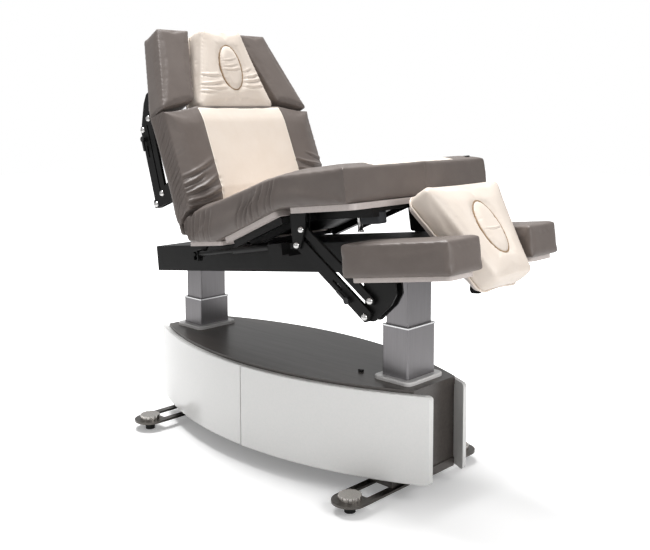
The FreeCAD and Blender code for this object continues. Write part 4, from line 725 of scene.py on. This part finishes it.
def seam_valley(piece, offset):
    """The two panels puff up beside the seam, so it lies in a shallow valley."""
    push(piece, -SEAM_DEPTH * np.exp(-((offset / SEAM_WIDTH) ** 2)))


def declare(piece, slot, *nodes):
    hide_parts(*nodes)


# The upper edge of a bowed end is read in narrow strips across the width, and a seam runs beside it
END_HALF_WIDTH = 0.36
STRIP_COUNT = 25
STRIP_HALF_WIDTH = 0.012
END_REACH = 0.06
EDGE_DEPTH = 0.010
END_SEAM_INSET = 0.007
END_SEAM_DROP = 0.012
END_SEAM_REACH = 0.04
FAR_INSIDE = 1.0


def end_line(points, way):
    """Where the upper edge of a bowed end lies across the width, and how high; way is 1 or -1."""
    across = np.linspace(-END_HALF_WIDTH, END_HALF_WIDTH, STRIP_COUNT)
    ends = []
    tops = []
    for place in across:
        strip = points[np.abs(points[:, 1] - place) < STRIP_HALF_WIDTH]
        strip = strip[way * strip[:, 0] > (way * strip[:, 0]).max() - END_REACH]
        tops.append(strip[:, 2].max())
        edge = strip[strip[:, 2] > tops[-1] - EDGE_DEPTH]
        ends.append(way * (way * edge[:, 0]).max())
    return np.interp(points[:, 1], across, ends), np.interp(points[:, 1], across, tops)


def end_offset(points, way):
    """How far each place lies inside the seam along the upper edge of a bowed end."""
    end, top = end_line(points, way)
    inside = way * (end - points[:, 0]) - END_SEAM_INSET
    above_drop = points[:, 2] - top + END_SEAM_DROP
    return np.minimum(inside, np.where(inside < END_SEAM_REACH, above_drop, FAR_INSIDE))


# Seat cover: rear, thigh and front cushions under one cover, cut into three
SEAT_NODES = ("seat_rear_cushion", "seat_thigh_cushion", "seat_front_cushion")
JOIN_REACH = 0.04
SEAT_VOXEL = 0.0075
SEAT_CORNER = 0.324
COVER_INSET = 0.003
COVER_SWELL = 0.006
seat = cushion_copy("seat_cover", SEAT_NODES, SEAT_VOXEL, TWO_TONE, [
    (SEAT_NODES[:2], THIGH_HINGE, FOLD_NORMAL, JOIN_REACH),
    (SEAT_NODES[1:], FRONT_HINGE, FOLD_NORMAL, JOIN_REACH),
])
round_nose(seat)
draw_out(seat, FRONT, SEAT_CORNER)
soften(seat, 2)
plump(seat, on_board(seat, DECK), COVER_INSET, COVER_SWELL)
soften(seat, 1)
divide(seat)


# The side panel's folds start near its lower edge, which rises along the thigh section
SIDE_FOLD_LOW = 0.858
SIDE_RISE = 0.303
SIDE_RISE_START = 0.097
SIDE_FOLD_HEIGHT = 0.085
SIDE_FOLD_GROWTH = 0.1


def side_lines(places, lean, depth, width):
    """Folds up the seat's side panel, each leaning over a little and longer towards the thigh."""
    lines = []
    for place in places:
        low = SIDE_FOLD_LOW + SIDE_RISE * max(0, place - SIDE_RISE_START)
        high = low + SIDE_FOLD_HEIGHT + SIDE_FOLD_GROWTH * max(0, min(place + 0.05, 0.1))
        bend = lean * chance.uniform(0.7, 1.3)
        lines.append(((place, low), (place + bend, high), depth * chance.uniform(0.7, 1.2), width))
    return lines


FRONT_PANEL_START = -0.02
FRONT_LOW_SEAM = 0.05
END_SEAM_DEPTH = 0.0016
END_SEAM_WIDTH = 0.0025


def finish_seat():
    """Side folds, the upright seam in the middle of the front end, and the cream panel's seam."""
    points = points_of(seat)
    local = in_frame(points, DECK)
    forward = in_frame(points, FRONT)
    low_seam = forward[:, 2] - FRONT_LOW_SEAM
    upper = np.where(forward[:, 0] > FRONT_PANEL_START, low_seam, FAR_INSIDE)
    offset = np.minimum(SEAM_HALF_WIDTH - np.abs(points[:, 1]), np.minimum(end_offset(forward, 1), upper))
    normals = normals_of(seat)
    folds = side_lines((-0.100, -0.082), lean=0.004, depth=0.0085, width=0.0052)
    folds += side_lines((-0.040, 0.022), lean=0.006, depth=0.0072, width=0.0052)
    folds += side_lines((-0.062, -0.012, 0.050), lean=0.008, depth=0.0040, width=0.0050)
    folds += side_lines((0.206, 0.230, 0.254), lean=0.042, depth=0.0095, width=0.0055)
    folds += side_lines((0.290, 0.325), lean=0.030, depth=0.0080, width=0.0055)
    folds += side_lines((0.272, 0.365, 0.392), lean=0.020, depth=0.0050, width=0.0052)
    heights = np.zeros(len(points))
    for side in (-1, 1):
        face = facing(normals, DECK, (0, side, 0)) ** 2
        heights += face * fold_heights(local[:, 0], local[:, 2], folds)
    end_face = facing(normals, FRONT, (1, 0, 0)) ** 2
    heights -= end_face * END_SEAM_DEPTH * np.exp(-((points[:, 1] / END_SEAM_WIDTH) ** 2))
    push(seat, heights)
    seam_valley(seat, offset)
    set_attribute(seat, "seam_offset", offset)


finish_seat()


def cut_off(piece, name, keep):
    """A copy of the piece between cutting planes, each a point and a normal towards what is cut off."""
    shape = bmesh.new()
    shape.from_mesh(piece.data)
    for place, normal in keep:
        everything = shape.verts[:] + shape.edges[:] + shape.faces[:]
        bmesh.ops.bisect_plane(shape, geom=everything, dist=1e-6, plane_co=place, plane_no=normal,
                               clear_outer=True)
        rim = [edge for edge in shape.edges if edge.is_boundary]
        bmesh.ops.holes_fill(shape, edges=rim)
    return new_piece(name, shape, TWO_TONE)


SEAT_CUT = DECK @ Vector((0.030, 0, 0.9))
THIGH_CUT = THIGH @ Vector((0.165, 0, 0.05))
seat_rear = cut_off(seat, "seat_rear_cover", [(SEAT_CUT, SEAT_WAY)])
seat_thigh = cut_off(seat, "seat_thigh_cover", [(SEAT_CUT, -SEAT_WAY), (THIGH_CUT, THIGH_WAY)])
seat_front = cut_off(seat, "seat_front_cover", [(THIGH_CUT, -THIGH_WAY)])


def match_normals(piece, whole):
    """Gives a cut piece the whole cover's normals, so that no line shows at the cut."""
    places = points_of(whole)
    normals = normals_of(whole)
    tree = KDTree(len(places))
    for number, place in enumerate(places):
        tree.insert(place, number)
    tree.balance()
    found = [normals[tree.find(place)[1]] for place in points_of(piece)]
    piece.data.normals_split_custom_set_from_vertices(found)


for cut_piece in (seat_rear, seat_thigh, seat_front):
    match_normals(cut_piece, seat)
bpy.data.objects.remove(seat)


def bend_between(piece):
    """Bakes the cover's placement into its mesh."""
    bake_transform(piece)


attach(seat_rear, "deck")
bend_between(seat_thigh)
bend_between(seat_front)
declare(seat_rear, "taupe_leatherette", "seat_rear_cushion")
declare(seat_thigh, "taupe_leatherette", "seat_thigh_cushion")
declare(seat_front, "taupe_leatherette", "seat_front_cushion")


# Back cover
BACK_VOXEL = 0.007
BACK_CORNER = -0.500
BACK_LENGTHENING = 0.016
BACK_TOP_SEAM = 0.016
BACK_LOW_SEAM = 0.06

# Slack folds lean in a row along the back's sides, and are deeper towards the seat
SLACK_FOLDS = 17
SLACK_START = -0.455
SLACK_STEP = 0.0245
SLACK_LEAN = 0.075
SLACK_LOW = 0.052
SLACK_HIGH = 0.122
SLACK_DEPTH = 0.0012
SLACK_DEEPENING = 0.00022
SLACK_WIDTH = 0.0040


def lengthen(piece, matrix, start, amount):
    """Draws the upper end of a cover out, over a tenth of a metre from a place along its section."""
    local = in_frame(points_of(piece), matrix)
    local[:, 0] -= amount * np.clip((start - local[:, 0]) / 0.1, 0, 1)
    set_points(piece, in_world(local, matrix))


back = cushion_copy("back_cover", ("back_cushion",), BACK_VOXEL, TWO_TONE)
fit_to_nose(back)
tuck(back, BACK, level=0.055, depth=0.025, amount=0.005)
lengthen(back, BACK, start=-0.38, amount=BACK_LENGTHENING)
draw_out(back, BACK, BACK_CORNER)
soften(back, 2)
plump(back, on_board(back, BACK), COVER_INSET, COVER_SWELL)
soften(back, 1)
divide(back)


def finish_back():
    """Folds that fan out on the taupe panels and lean on the sides, and the cream panel's seam."""
    points = points_of(back)
    local = in_frame(points, BACK)
    inside_ends = np.minimum(end_offset(local, -1) + BACK_TOP_SEAM, local[:, 2] - BACK_LOW_SEAM)
    offset = np.minimum(SEAM_HALF_WIDTH - np.abs(points[:, 1]), inside_ends)
    normals = normals_of(back)
    face = facing(normals, BACK, (0, 0, 1)) ** 2
    near_panel = [
        ((-0.386, -0.106), (-0.240, -0.125), 0.0075, 0.0052),
        ((-0.384, -0.123), (-0.216, -0.158), 0.0100, 0.0062),
        ((-0.384, -0.153), (-0.218, -0.208), 0.0096, 0.0064),
        ((-0.385, -0.189), (-0.275, -0.226), 0.0078, 0.0058),
        ((-0.384, -0.220), (-0.221, -0.274), 0.0066, 0.0072),
        ((-0.330, -0.172), (-0.222, -0.188), 0.0046, 0.0054),
        ((-0.384, -0.172), (-0.330, -0.186), 0.0040, 0.0046),
        ((-0.382, -0.314), (-0.345, -0.329), 0.0016, 0.0046),
    ]
    far_panel = [
        ((0.225, -0.262), (0.385, -0.226), 0.0080, 0.0062),
        ((0.230, -0.222), (0.385, -0.196), 0.0085, 0.0062),
        ((0.290, -0.288), (0.380, -0.262), 0.0042, 0.0056),
        ((0.225, -0.180), (0.385, -0.150), 0.0076, 0.0062),
        ((0.225, -0.140), (0.385, -0.115), 0.0066, 0.0058),
    ]
    heights = face * fold_heights(local[:, 1], local[:, 0], near_panel + far_panel)
    slack = []
    for number in range(SLACK_FOLDS):
        place = SLACK_START + SLACK_STEP * number + chance.uniform(-0.006, 0.006)
        depth = (SLACK_DEPTH + SLACK_DEEPENING * number) * chance.uniform(0.6, 1.3)
        slack.append(((place, SLACK_LOW), (place - SLACK_LEAN, SLACK_HIGH), depth, SLACK_WIDTH))
    for side in (-1, 1):
        edge = facing(normals, BACK, (0, side, 0)) ** 2
        heights += edge * fold_heights(local[:, 0], local[:, 2], slack)
    push(back, heights)
    seam_valley(back, offset)
    set_attribute(back, "seam_offset", offset)


finish_back()
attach(back, "back")
declare(back, "taupe_leatherette", "back_cushion")


BOARD_VOXEL = 0.006
back_panel = cushion_copy("back_board_cover", ("back_board",), BOARD_VOXEL, TAUPE)
soften(back_panel, 2)
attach(back_panel, "back")
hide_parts("back_board")


# Leg rests, head wings and centre cushions
def outline_of(points):
    """The corners of the outline around flat points, in order."""
    def half(places):
        chain = []
        for place in places:
            while len(chain) > 1 and np.cross(chain[-1] - chain[-2], place - chain[-1]) <= 0:
                chain.pop()
            chain.append(place)
        return chain[:-1]

    ordered = [np.array(place) for place in sorted(set(map(tuple, np.round(points, 5))))]
    return half(ordered) + half(ordered[::-1])


def sharp_corners(points):
    """The four corners where the longest edges of an outline would meet."""
    outline = outline_of(points)
    edges = [following - place for place, following in zip(outline, outline[1:] + outline[:1])]
    longest = sorted(sorted(range(len(edges)), key=lambda number: -np.hypot(*edges[number]))[:4])
    corners = []
    for first, second in zip(longest[-1:] + longest[:-1], longest):
        along = np.linalg.solve(np.column_stack((edges[first], -edges[second])),
                                outline[second] - outline[first])[0]
        corners.append(outline[first] + along * edges[first])
    return corners


def boxed(name, node_name, matrix, voxel, material, edge):
    """A closed cover with crisp edges around a four-cornered CAD cushion."""
    local = in_frame(points_of(NODES[node_name]), matrix)
    corners = sharp_corners(local[:, :2])
    low, high = local[:, 2].min(), local[:, 2].max()
    shape = bmesh.new()
    lower = [shape.verts.new((*corner, low)) for corner in corners]
    upper = [shape.verts.new((*corner, high)) for corner in corners]
    shape.faces.new(lower[::-1])
    shape.faces.new(upper)
    for first, second in ((0, 1), (1, 2), (2, 3), (3, 0)):
        shape.faces.new((lower[first], lower[second], upper[second], upper[first]))
    bmesh.ops.recalc_face_normals(shape, faces=shape.faces)
    bmesh.ops.bevel(shape, geom=shape.edges[:], offset=edge, affect="EDGES", segments=4, profile=0.5,
                    material=-1)
    bmesh.ops.transform(shape, matrix=matrix, verts=shape.verts)
    piece = new_piece(name, shape, material)
    remesh_by(piece, voxel)
    coat(piece, material)
    return piece


BOX_INSET = 0.001
BOX_SWELL = 0.0028


def box_cushion(piece, node_name, body, matrix, slot, folds=()):
    """Finishes a boxed cushion on its board: crowned, flat underneath, with folds on its upper face."""
    soften(piece, 1)
    plump(piece, on_board(piece, matrix), BOX_INSET, BOX_SWELL)
    soften(piece, 2)
    divide(piece)
    if folds:
        local = in_frame(points_of(piece), matrix)
        face = facing(normals_of(piece), matrix, (0, 0, 1)) ** 2
        push(piece, face * fold_heights(local[:, 1], local[:, 0], folds))
    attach(piece, body)
    declare(piece, slot, node_name)


# Short folds run out from both sides of the head cushion's opening, and across the plugs
HEAD_FOLDS = [
    ((-0.160, -0.144), (-0.071, -0.132), 0.0034, 0.0050),
    ((-0.176, -0.102), (-0.058, -0.104), 0.0036, 0.0052),
    ((-0.179, -0.088), (-0.038, -0.080), 0.0026, 0.0050),
    ((-0.180, -0.070), (-0.116, -0.063), 0.0028, 0.0050),
    ((0.063, -0.155), (0.102, -0.164), 0.0024, 0.0045),
    ((0.056, -0.129), (0.150, -0.146), 0.0034, 0.0050),
    ((0.051, -0.111), (0.160, -0.124), 0.0036, 0.0052),
    ((0.039, -0.090), (0.163, -0.094), 0.0026, 0.0050),
]
HEAD_PLUG_FOLDS = [
    ((-0.048, -0.200), (0.024, -0.206), 0.0014, 0.0035),
    ((-0.033, -0.175), (0.022, -0.180), 0.0020, 0.0038),
    ((-0.046, -0.160), (0.044, -0.165), 0.0026, 0.0040),
]
FOOT_PLUG_FOLDS = [((-0.047, 0.198), (0.043, 0.201), 0.0020, 0.0028)]
REST_VOXEL = 0.006
REST_EDGE = 0.006
for stem in STEMS:
    rest_frame = LEG_REST if stem.startswith("leg") else WING_REST
    rest_cover = boxed(f"{stem}_cover", f"{stem}_cushion", rest_frame, REST_VOXEL, TAUPE, REST_EDGE)
    box_cushion(rest_cover, f"{stem}_cushion", f"{stem}_carrier", rest_frame, "taupe_leatherette")


CORD_SIDES = 8


def cord(name, path, matrix, radius, material, body):
    """A closed round cord along a path in a section's frame."""
    upright = np.array((0.0, 0.0, 1.0))
    shape = bmesh.new()
    rings = []
    for number, place in enumerate(path):
        ahead = path[(number + 1) % len(path)] - path[number - 1]
        beside = np.cross(ahead, upright)
        beside /= np.linalg.norm(beside)
        turns = [math.tau * step / CORD_SIDES for step in range(CORD_SIDES)]
        spots = [place + radius * (math.cos(turn) * beside + math.sin(turn) * upright) for turn in turns]
        rings.append([shape.verts.new(matrix @ Vector(spot)) for spot in spots])
    for number, ring in enumerate(rings):
        following = rings[(number + 1) % len(rings)]
        for step in range(CORD_SIDES):
            beyond = (step + 1) % CORD_SIDES
            shape.faces.new((ring[step], ring[beyond], following[beyond], following[step]))
    bmesh.ops.recalc_face_normals(shape, faces=shape.faces)
    piece = new_piece(name, shape, material)
    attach(piece, body)


def plug_oval(plug_node, matrix):
    """Middle and half sizes of a plug in its section's frame."""
    plug = in_frame(points_of(NODES[plug_node]), matrix)
    low, high = plug.min(axis=0), plug.max(axis=0)
    return (low + high) / 2, (high - low) / 2


WIDEN_BLEND = 0.3


def widen(cover, matrix, plug_node, amount):
    """Moves the outer sides of a cushion out, but not the walls of its opening."""
    points = points_of(cover)
    middle, half = plug_oval(plug_node, matrix)
    local = in_frame(points, matrix)
    beyond = np.hypot((local[:, 0] - middle[0]) / half[0], (local[:, 1] - middle[1]) / half[1]) - 1
    normals = normals_of(cover)
    sideways = 1 - np.abs(normals @ np.array(matrix.to_3x3() @ Vector((0, 0, 1))))
    moves = amount * np.clip(beyond / WIDEN_BLEND, 0, 1) * sideways
    set_points(cover, points + normals * moves[:, None])


OVAL_STEPS = 96
OVAL_CLEARANCE = 0.0005
PIPING_SINK = 0.0012
UPWARD = 0.8


def oval_path(cover, plug_node, matrix):
    """The rim of the oval opening, laid on the cover's upper face."""
    middle, half = plug_oval(plug_node, matrix)
    half = half + OVAL_CLEARANCE
    local = in_frame(points_of(cover), matrix)
    upper = local[facing(normals_of(cover), matrix, (0, 0, 1)) > UPWARD]
    path = []
    for step in range(OVAL_STEPS):
        turn = math.tau * step / OVAL_STEPS
        spot = middle[:2] + half[:2] * (math.cos(turn), math.sin(turn))
        nearest = np.argmin(np.hypot(upper[:, 0] - spot[0], upper[:, 1] - spot[1]))
        path.append((*spot, upper[nearest, 2] - PIPING_SINK))
    levels = np.array([place[2] for place in path])
    even = (np.roll(levels, 2) + np.roll(levels, 1) + levels + np.roll(levels, -1) + np.roll(levels, -2)) / 5
    return np.array([(place[0], place[1], level) for place, level in zip(path, even)])


HEM_STEPS = 120
HEM_SLICE = 0.004
HEM_ANGLE_WINDOW = 0.04


def hem_path(cover, matrix, level):
    """The outline of a cushion a little above its board, by angle around its middle."""
    local = in_frame(points_of(cover), matrix)
    ring = local[np.abs(local[:, 2] - local[:, 2].min() - level) < HEM_SLICE]
    middle = (ring.min(axis=0) + ring.max(axis=0)) / 2
    angle = np.arctan2(ring[:, 1] - middle[1], ring[:, 0] - middle[0])
    distance = np.hypot(ring[:, 1] - middle[1], ring[:, 0] - middle[0])
    path = []
    for step in range(HEM_STEPS):
        turn = -math.pi + math.tau * step / HEM_STEPS
        reach = distance[np.abs(np.angle(np.exp(1j * (angle - turn)))) < HEM_ANGLE_WINDOW].max()
        path.append((middle[0] + reach * math.cos(turn), middle[1] + reach * math.sin(turn),
                     ring[:, 2].mean()))
    return np.array(path)


CENTRE_VOXEL = 0.005
PLUG_VOXEL = 0.004
CENTRE_WIDENING = 0.005
PIPING_RADIUS = 0.0030
HEM_RADIUS = 0.0035
HEM_LEVEL = 0.012
for end_name, end_frame, folds, plug_folds in (("foot_centre", FOOT_CENTRE, (), FOOT_PLUG_FOLDS),
                                               ("head_centre", HEAD_CENTRE, HEAD_FOLDS, HEAD_PLUG_FOLDS)):
    cover = cushion_copy(f"{end_name}_cover", (f"{end_name}_cushion",), CENTRE_VOXEL, CREAM)
    widen(cover, end_frame, f"{end_name}_plug", CENTRE_WIDENING)
    box_cushion(cover, f"{end_name}_cushion", end_name, end_frame, "cream_leatherette", folds)
    plug_cover = cushion_copy(f"{end_name}_plug_cover", (f"{end_name}_plug",), PLUG_VOXEL, CREAM)
    box_cushion(plug_cover, f"{end_name}_plug", f"{end_name}_plug", end_frame, "cream_leatherette",
                plug_folds)
    rim = oval_path(cover, f"{end_name}_plug", end_frame)
    cord(f"{end_name}_oval_piping", rim, end_frame, PIPING_RADIUS, TAN_PIPING_AND_GAP_SHADE, end_name)
    hem = hem_path(cover, end_frame, HEM_LEVEL)
    cord(f"{end_name}_hem", hem, end_frame, HEM_RADIUS, CREAM, end_name)


# Fittings
TURNED_STEPS = 20


def turned(shape, profile, place, axis):
    """A turned form around an axis: the profile gives radius and height pairs, from one end to the other."""
    way = Vector(axis).normalized()
    beside = way.orthogonal().normalized()
    points = [shape.verts.new(Vector(place) + beside * radius + way * height) for radius, height in profile]
    edges = [shape.edges.new(pair) for pair in zip(points, points[1:])]
    bmesh.ops.spin(shape, geom=points + edges, cent=place, axis=way, angle=math.tau, steps=TURNED_STEPS,
                   use_merge=True)


def turned_piece(name, profile, places, axis_of, material, body):
    """Several turned forms in one piece, each with the axis given for its place."""
    shape = bmesh.new()
    for place in places:
        turned(shape, profile, place, axis_of(place))
    bmesh.ops.remove_doubles(shape, verts=shape.verts, dist=MERGE_DISTANCE)
    bmesh.ops.recalc_face_normals(shape, faces=shape.faces)
    piece = new_piece(name, shape, material)
    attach(piece, body)


def bevelled_box(name, low, high, matrix, edge, material, body):
    """A block with rounded edges between two corners in a section's frame."""
    shape = bmesh.new()
    bmesh.ops.create_cube(shape, size=1)
    low, high = Vector(low), Vector(high)
    bmesh.ops.scale(shape, vec=high - low, verts=shape.verts)
    bmesh.ops.translate(shape, vec=(low + high) / 2, verts=shape.verts)
    bmesh.ops.bevel(shape, geom=shape.edges[:], offset=edge, affect="EDGES", segments=3, profile=0.5,
                    material=-1)
    bmesh.ops.transform(shape, matrix=matrix, verts=shape.verts)
    piece = new_piece(name, shape, material)
    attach(piece, body)


# Bright domed caps on the bolts, over the heads that the brackets carry
CAP = [(0, 0.0022), (0.0045, 0.0018), (0.0080, 0.0004), (0.0103, -0.0022), (0.0118, -0.0046),
       (0.0122, -0.0058)]


def outward(place):
    return (0, math.copysign(1, place.y), 0)


def bolt_places(stem, node_name, lower):
    """Outer ends of the two bolts that hold a rest's arms, at their upper or lower ends."""
    low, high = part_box(node_name)
    reach = low.y if "near" in stem else high.y
    main = HINGES[f"{stem}_arm_swing"]
    link_bolt = HINGES[f"{stem}_link_swing"]
    step = HINGES[f"{stem}_level"] - main if lower else Vector()
    return [Vector(((bolt + step).x, reach, (bolt + step).z)) for bolt in (main, link_bolt)]


for stem in STEMS:
    turned_piece(f"{stem}_bolt_caps", CAP, bolt_places(stem, f"{stem}_bracket", True), outward, POLISHED,
                 f"{stem}_carrier")
for body, stems in (("front", STEMS[:2]), ("back", STEMS[2:])):
    upper = [place for stem in stems for place in bolt_places(stem, f"{body}_frame", False)]
    turned_piece(f"{body}_bolt_caps", CAP, upper, outward, POLISHED, body)

# Drive of the leg section under the front board: a bright post and a grey motor housing
POST = [(0, 0), (0.011, 0), (0.011, 0.006), (0.0085, 0.008), (0.0085, 0.056), (0.012, 0.058),
        (0.012, 0.070), (0, 0.070)]
POST_FOOT = FRONT @ Vector((0.205, -0.206, -0.090))
MOTOR_LOW = (0.226, -0.228, -0.064)
MOTOR_HIGH = (0.306, -0.184, -0.022)


def up_from_front(place):
    return FRONT.to_3x3() @ Vector((0, 0, 1))


turned_piece("leg_drive_post", POST, [POST_FOOT], up_from_front, POLISHED, "front")
bevelled_box("leg_drive_motor", MOTOR_LOW, MOTOR_HIGH, FRONT, 0.006, GREY_COAT, "front")

# A cable clip on the base's top and a strap tab at the seat's far front edge
BASE_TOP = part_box("base_top_panel")[1].z
CLIP_LOW = (0.395, -0.080, BASE_TOP)
CLIP_HIGH = (0.413, -0.066, BASE_TOP + 0.009)
TAB_LOW = (0.255, 0.318, 0.128)
TAB_HIGH = (0.285, 0.340, 0.138)
bevelled_box("cable_clip", CLIP_LOW, CLIP_HIGH, Matrix(), 0.002, PLASTIC, "base")
bevelled_box("strap_tab", TAB_LOW, TAB_HIGH, FRONT, 0.003, PLASTIC, "front")


# Floor, light and camera
FLOOR_HALF_SIZE = 14


def add_floor():
    """A pale floor that fades into the white background away from the table."""
    shape = bmesh.new()
    bmesh.ops.create_grid(shape, x_segments=8, y_segments=8, size=FLOOR_HALF_SIZE)
    material, shader = new_material("pale_studio_floor", Roughness=0.9, Specular_IOR_Level=0.1,
                                    Emission_Color=linear("#ffffff"))
    place = object_place(material)
    spread(material, shader, place, size=900, dark="#f4f4f4", light="#f8f8f8")
    distance = add_node(material, "ShaderNodeVectorMath", {"operation": "LENGTH"}, _0=place)
    far = add_node(material, "ShaderNodeMapRange", Value=distance.outputs["Value"], From_Min=0.7,
                   From_Max=2.2, To_Min=0.22)
    seen = add_node(material, "ShaderNodeLightPath").outputs["Is Camera Ray"]
    glow = add_node(material, "ShaderNodeMath", {"operation": "MULTIPLY"}, _0=far.outputs["Result"], _1=seen)
    link(material, glow.outputs["Value"], shader.inputs["Emission Strength"])
    floor = new_piece("studio_floor", shape, material)


def add_light(name, place, target, size, power):
    lamp = bpy.data.lights.new(name, "AREA")
    lamp.shape = "RECTANGLE"
    lamp.size, lamp.size_y = size
    lamp.energy = power
    holder = bpy.data.objects.new(name, lamp)
    bpy.context.scene.collection.objects.link(holder)
    holder.location = place
    holder.rotation_euler = (Vector(target) - Vector(place)).to_track_quat("-Z", "Y").to_euler()


def add_world():
    """White to the camera, dimmer as a light, and in between in reflections."""
    world = bpy.data.worlds.new("white_studio")
    bpy.context.scene.world = world
    world.use_nodes = True
    background = world.node_tree.nodes["Background"]
    background.inputs["Color"].default_value = linear("#ffffff")
    path = add_node(world, "ShaderNodeLightPath").outputs
    shine = add_node(world, "ShaderNodeMapRange", Value=path["Is Glossy Ray"], To_Min=0.28, To_Max=0.60)
    seen = add_node(world, "ShaderNodeMath", {"operation": "MAXIMUM"}, _0=shine.outputs["Result"],
                    _1=path["Is Camera Ray"])
    link(world, seen.outputs["Value"], background.inputs["Strength"])


CAMERA_PLACE = (2.47329, -2.40052, 1.32705)
CAMERA_AZIMUTH = 0.7572
CAMERA_ELEVATION = -0.0871
CAMERA_LENS = 49.476
CAMERA_SENSOR = 36
CAMERA_SHIFT = (-0.01449, -0.13846)


def add_camera():
    view = bpy.data.cameras.new("photograph_view")
    view.lens = CAMERA_LENS
    view.sensor_width = CAMERA_SENSOR
    view.shift_x, view.shift_y = CAMERA_SHIFT
    holder = bpy.data.objects.new("photograph_view", view)
    bpy.context.scene.collection.objects.link(holder)
    holder.location = CAMERA_PLACE
    level = math.cos(CAMERA_ELEVATION)
    ahead = Vector((-math.sin(CAMERA_AZIMUTH) * level, math.cos(CAMERA_AZIMUTH) * level,
                    math.sin(CAMERA_ELEVATION)))
    holder.rotation_euler = ahead.to_track_quat("-Z", "Y").to_euler()
    bpy.context.scene.camera = holder


add_floor()
add_world()
add_light("key_softbox", place=(0.2, -3.8, 2.8), target=(0, 0, 0.7), size=(2.6, 2.0), power=12)
add_light("side_softbox", place=(2.7, -0.4, 1.7), target=(0, 0, 0.9), size=(1.2, 1.2), power=28)
add_light("top_softbox", place=(-1.2, 0.1, 6.0), target=(0, 0, 0.8), size=(3.0, 2.4), power=530)
add_camera()
bpy.context.scene.view_settings.view_transform = "Standard"
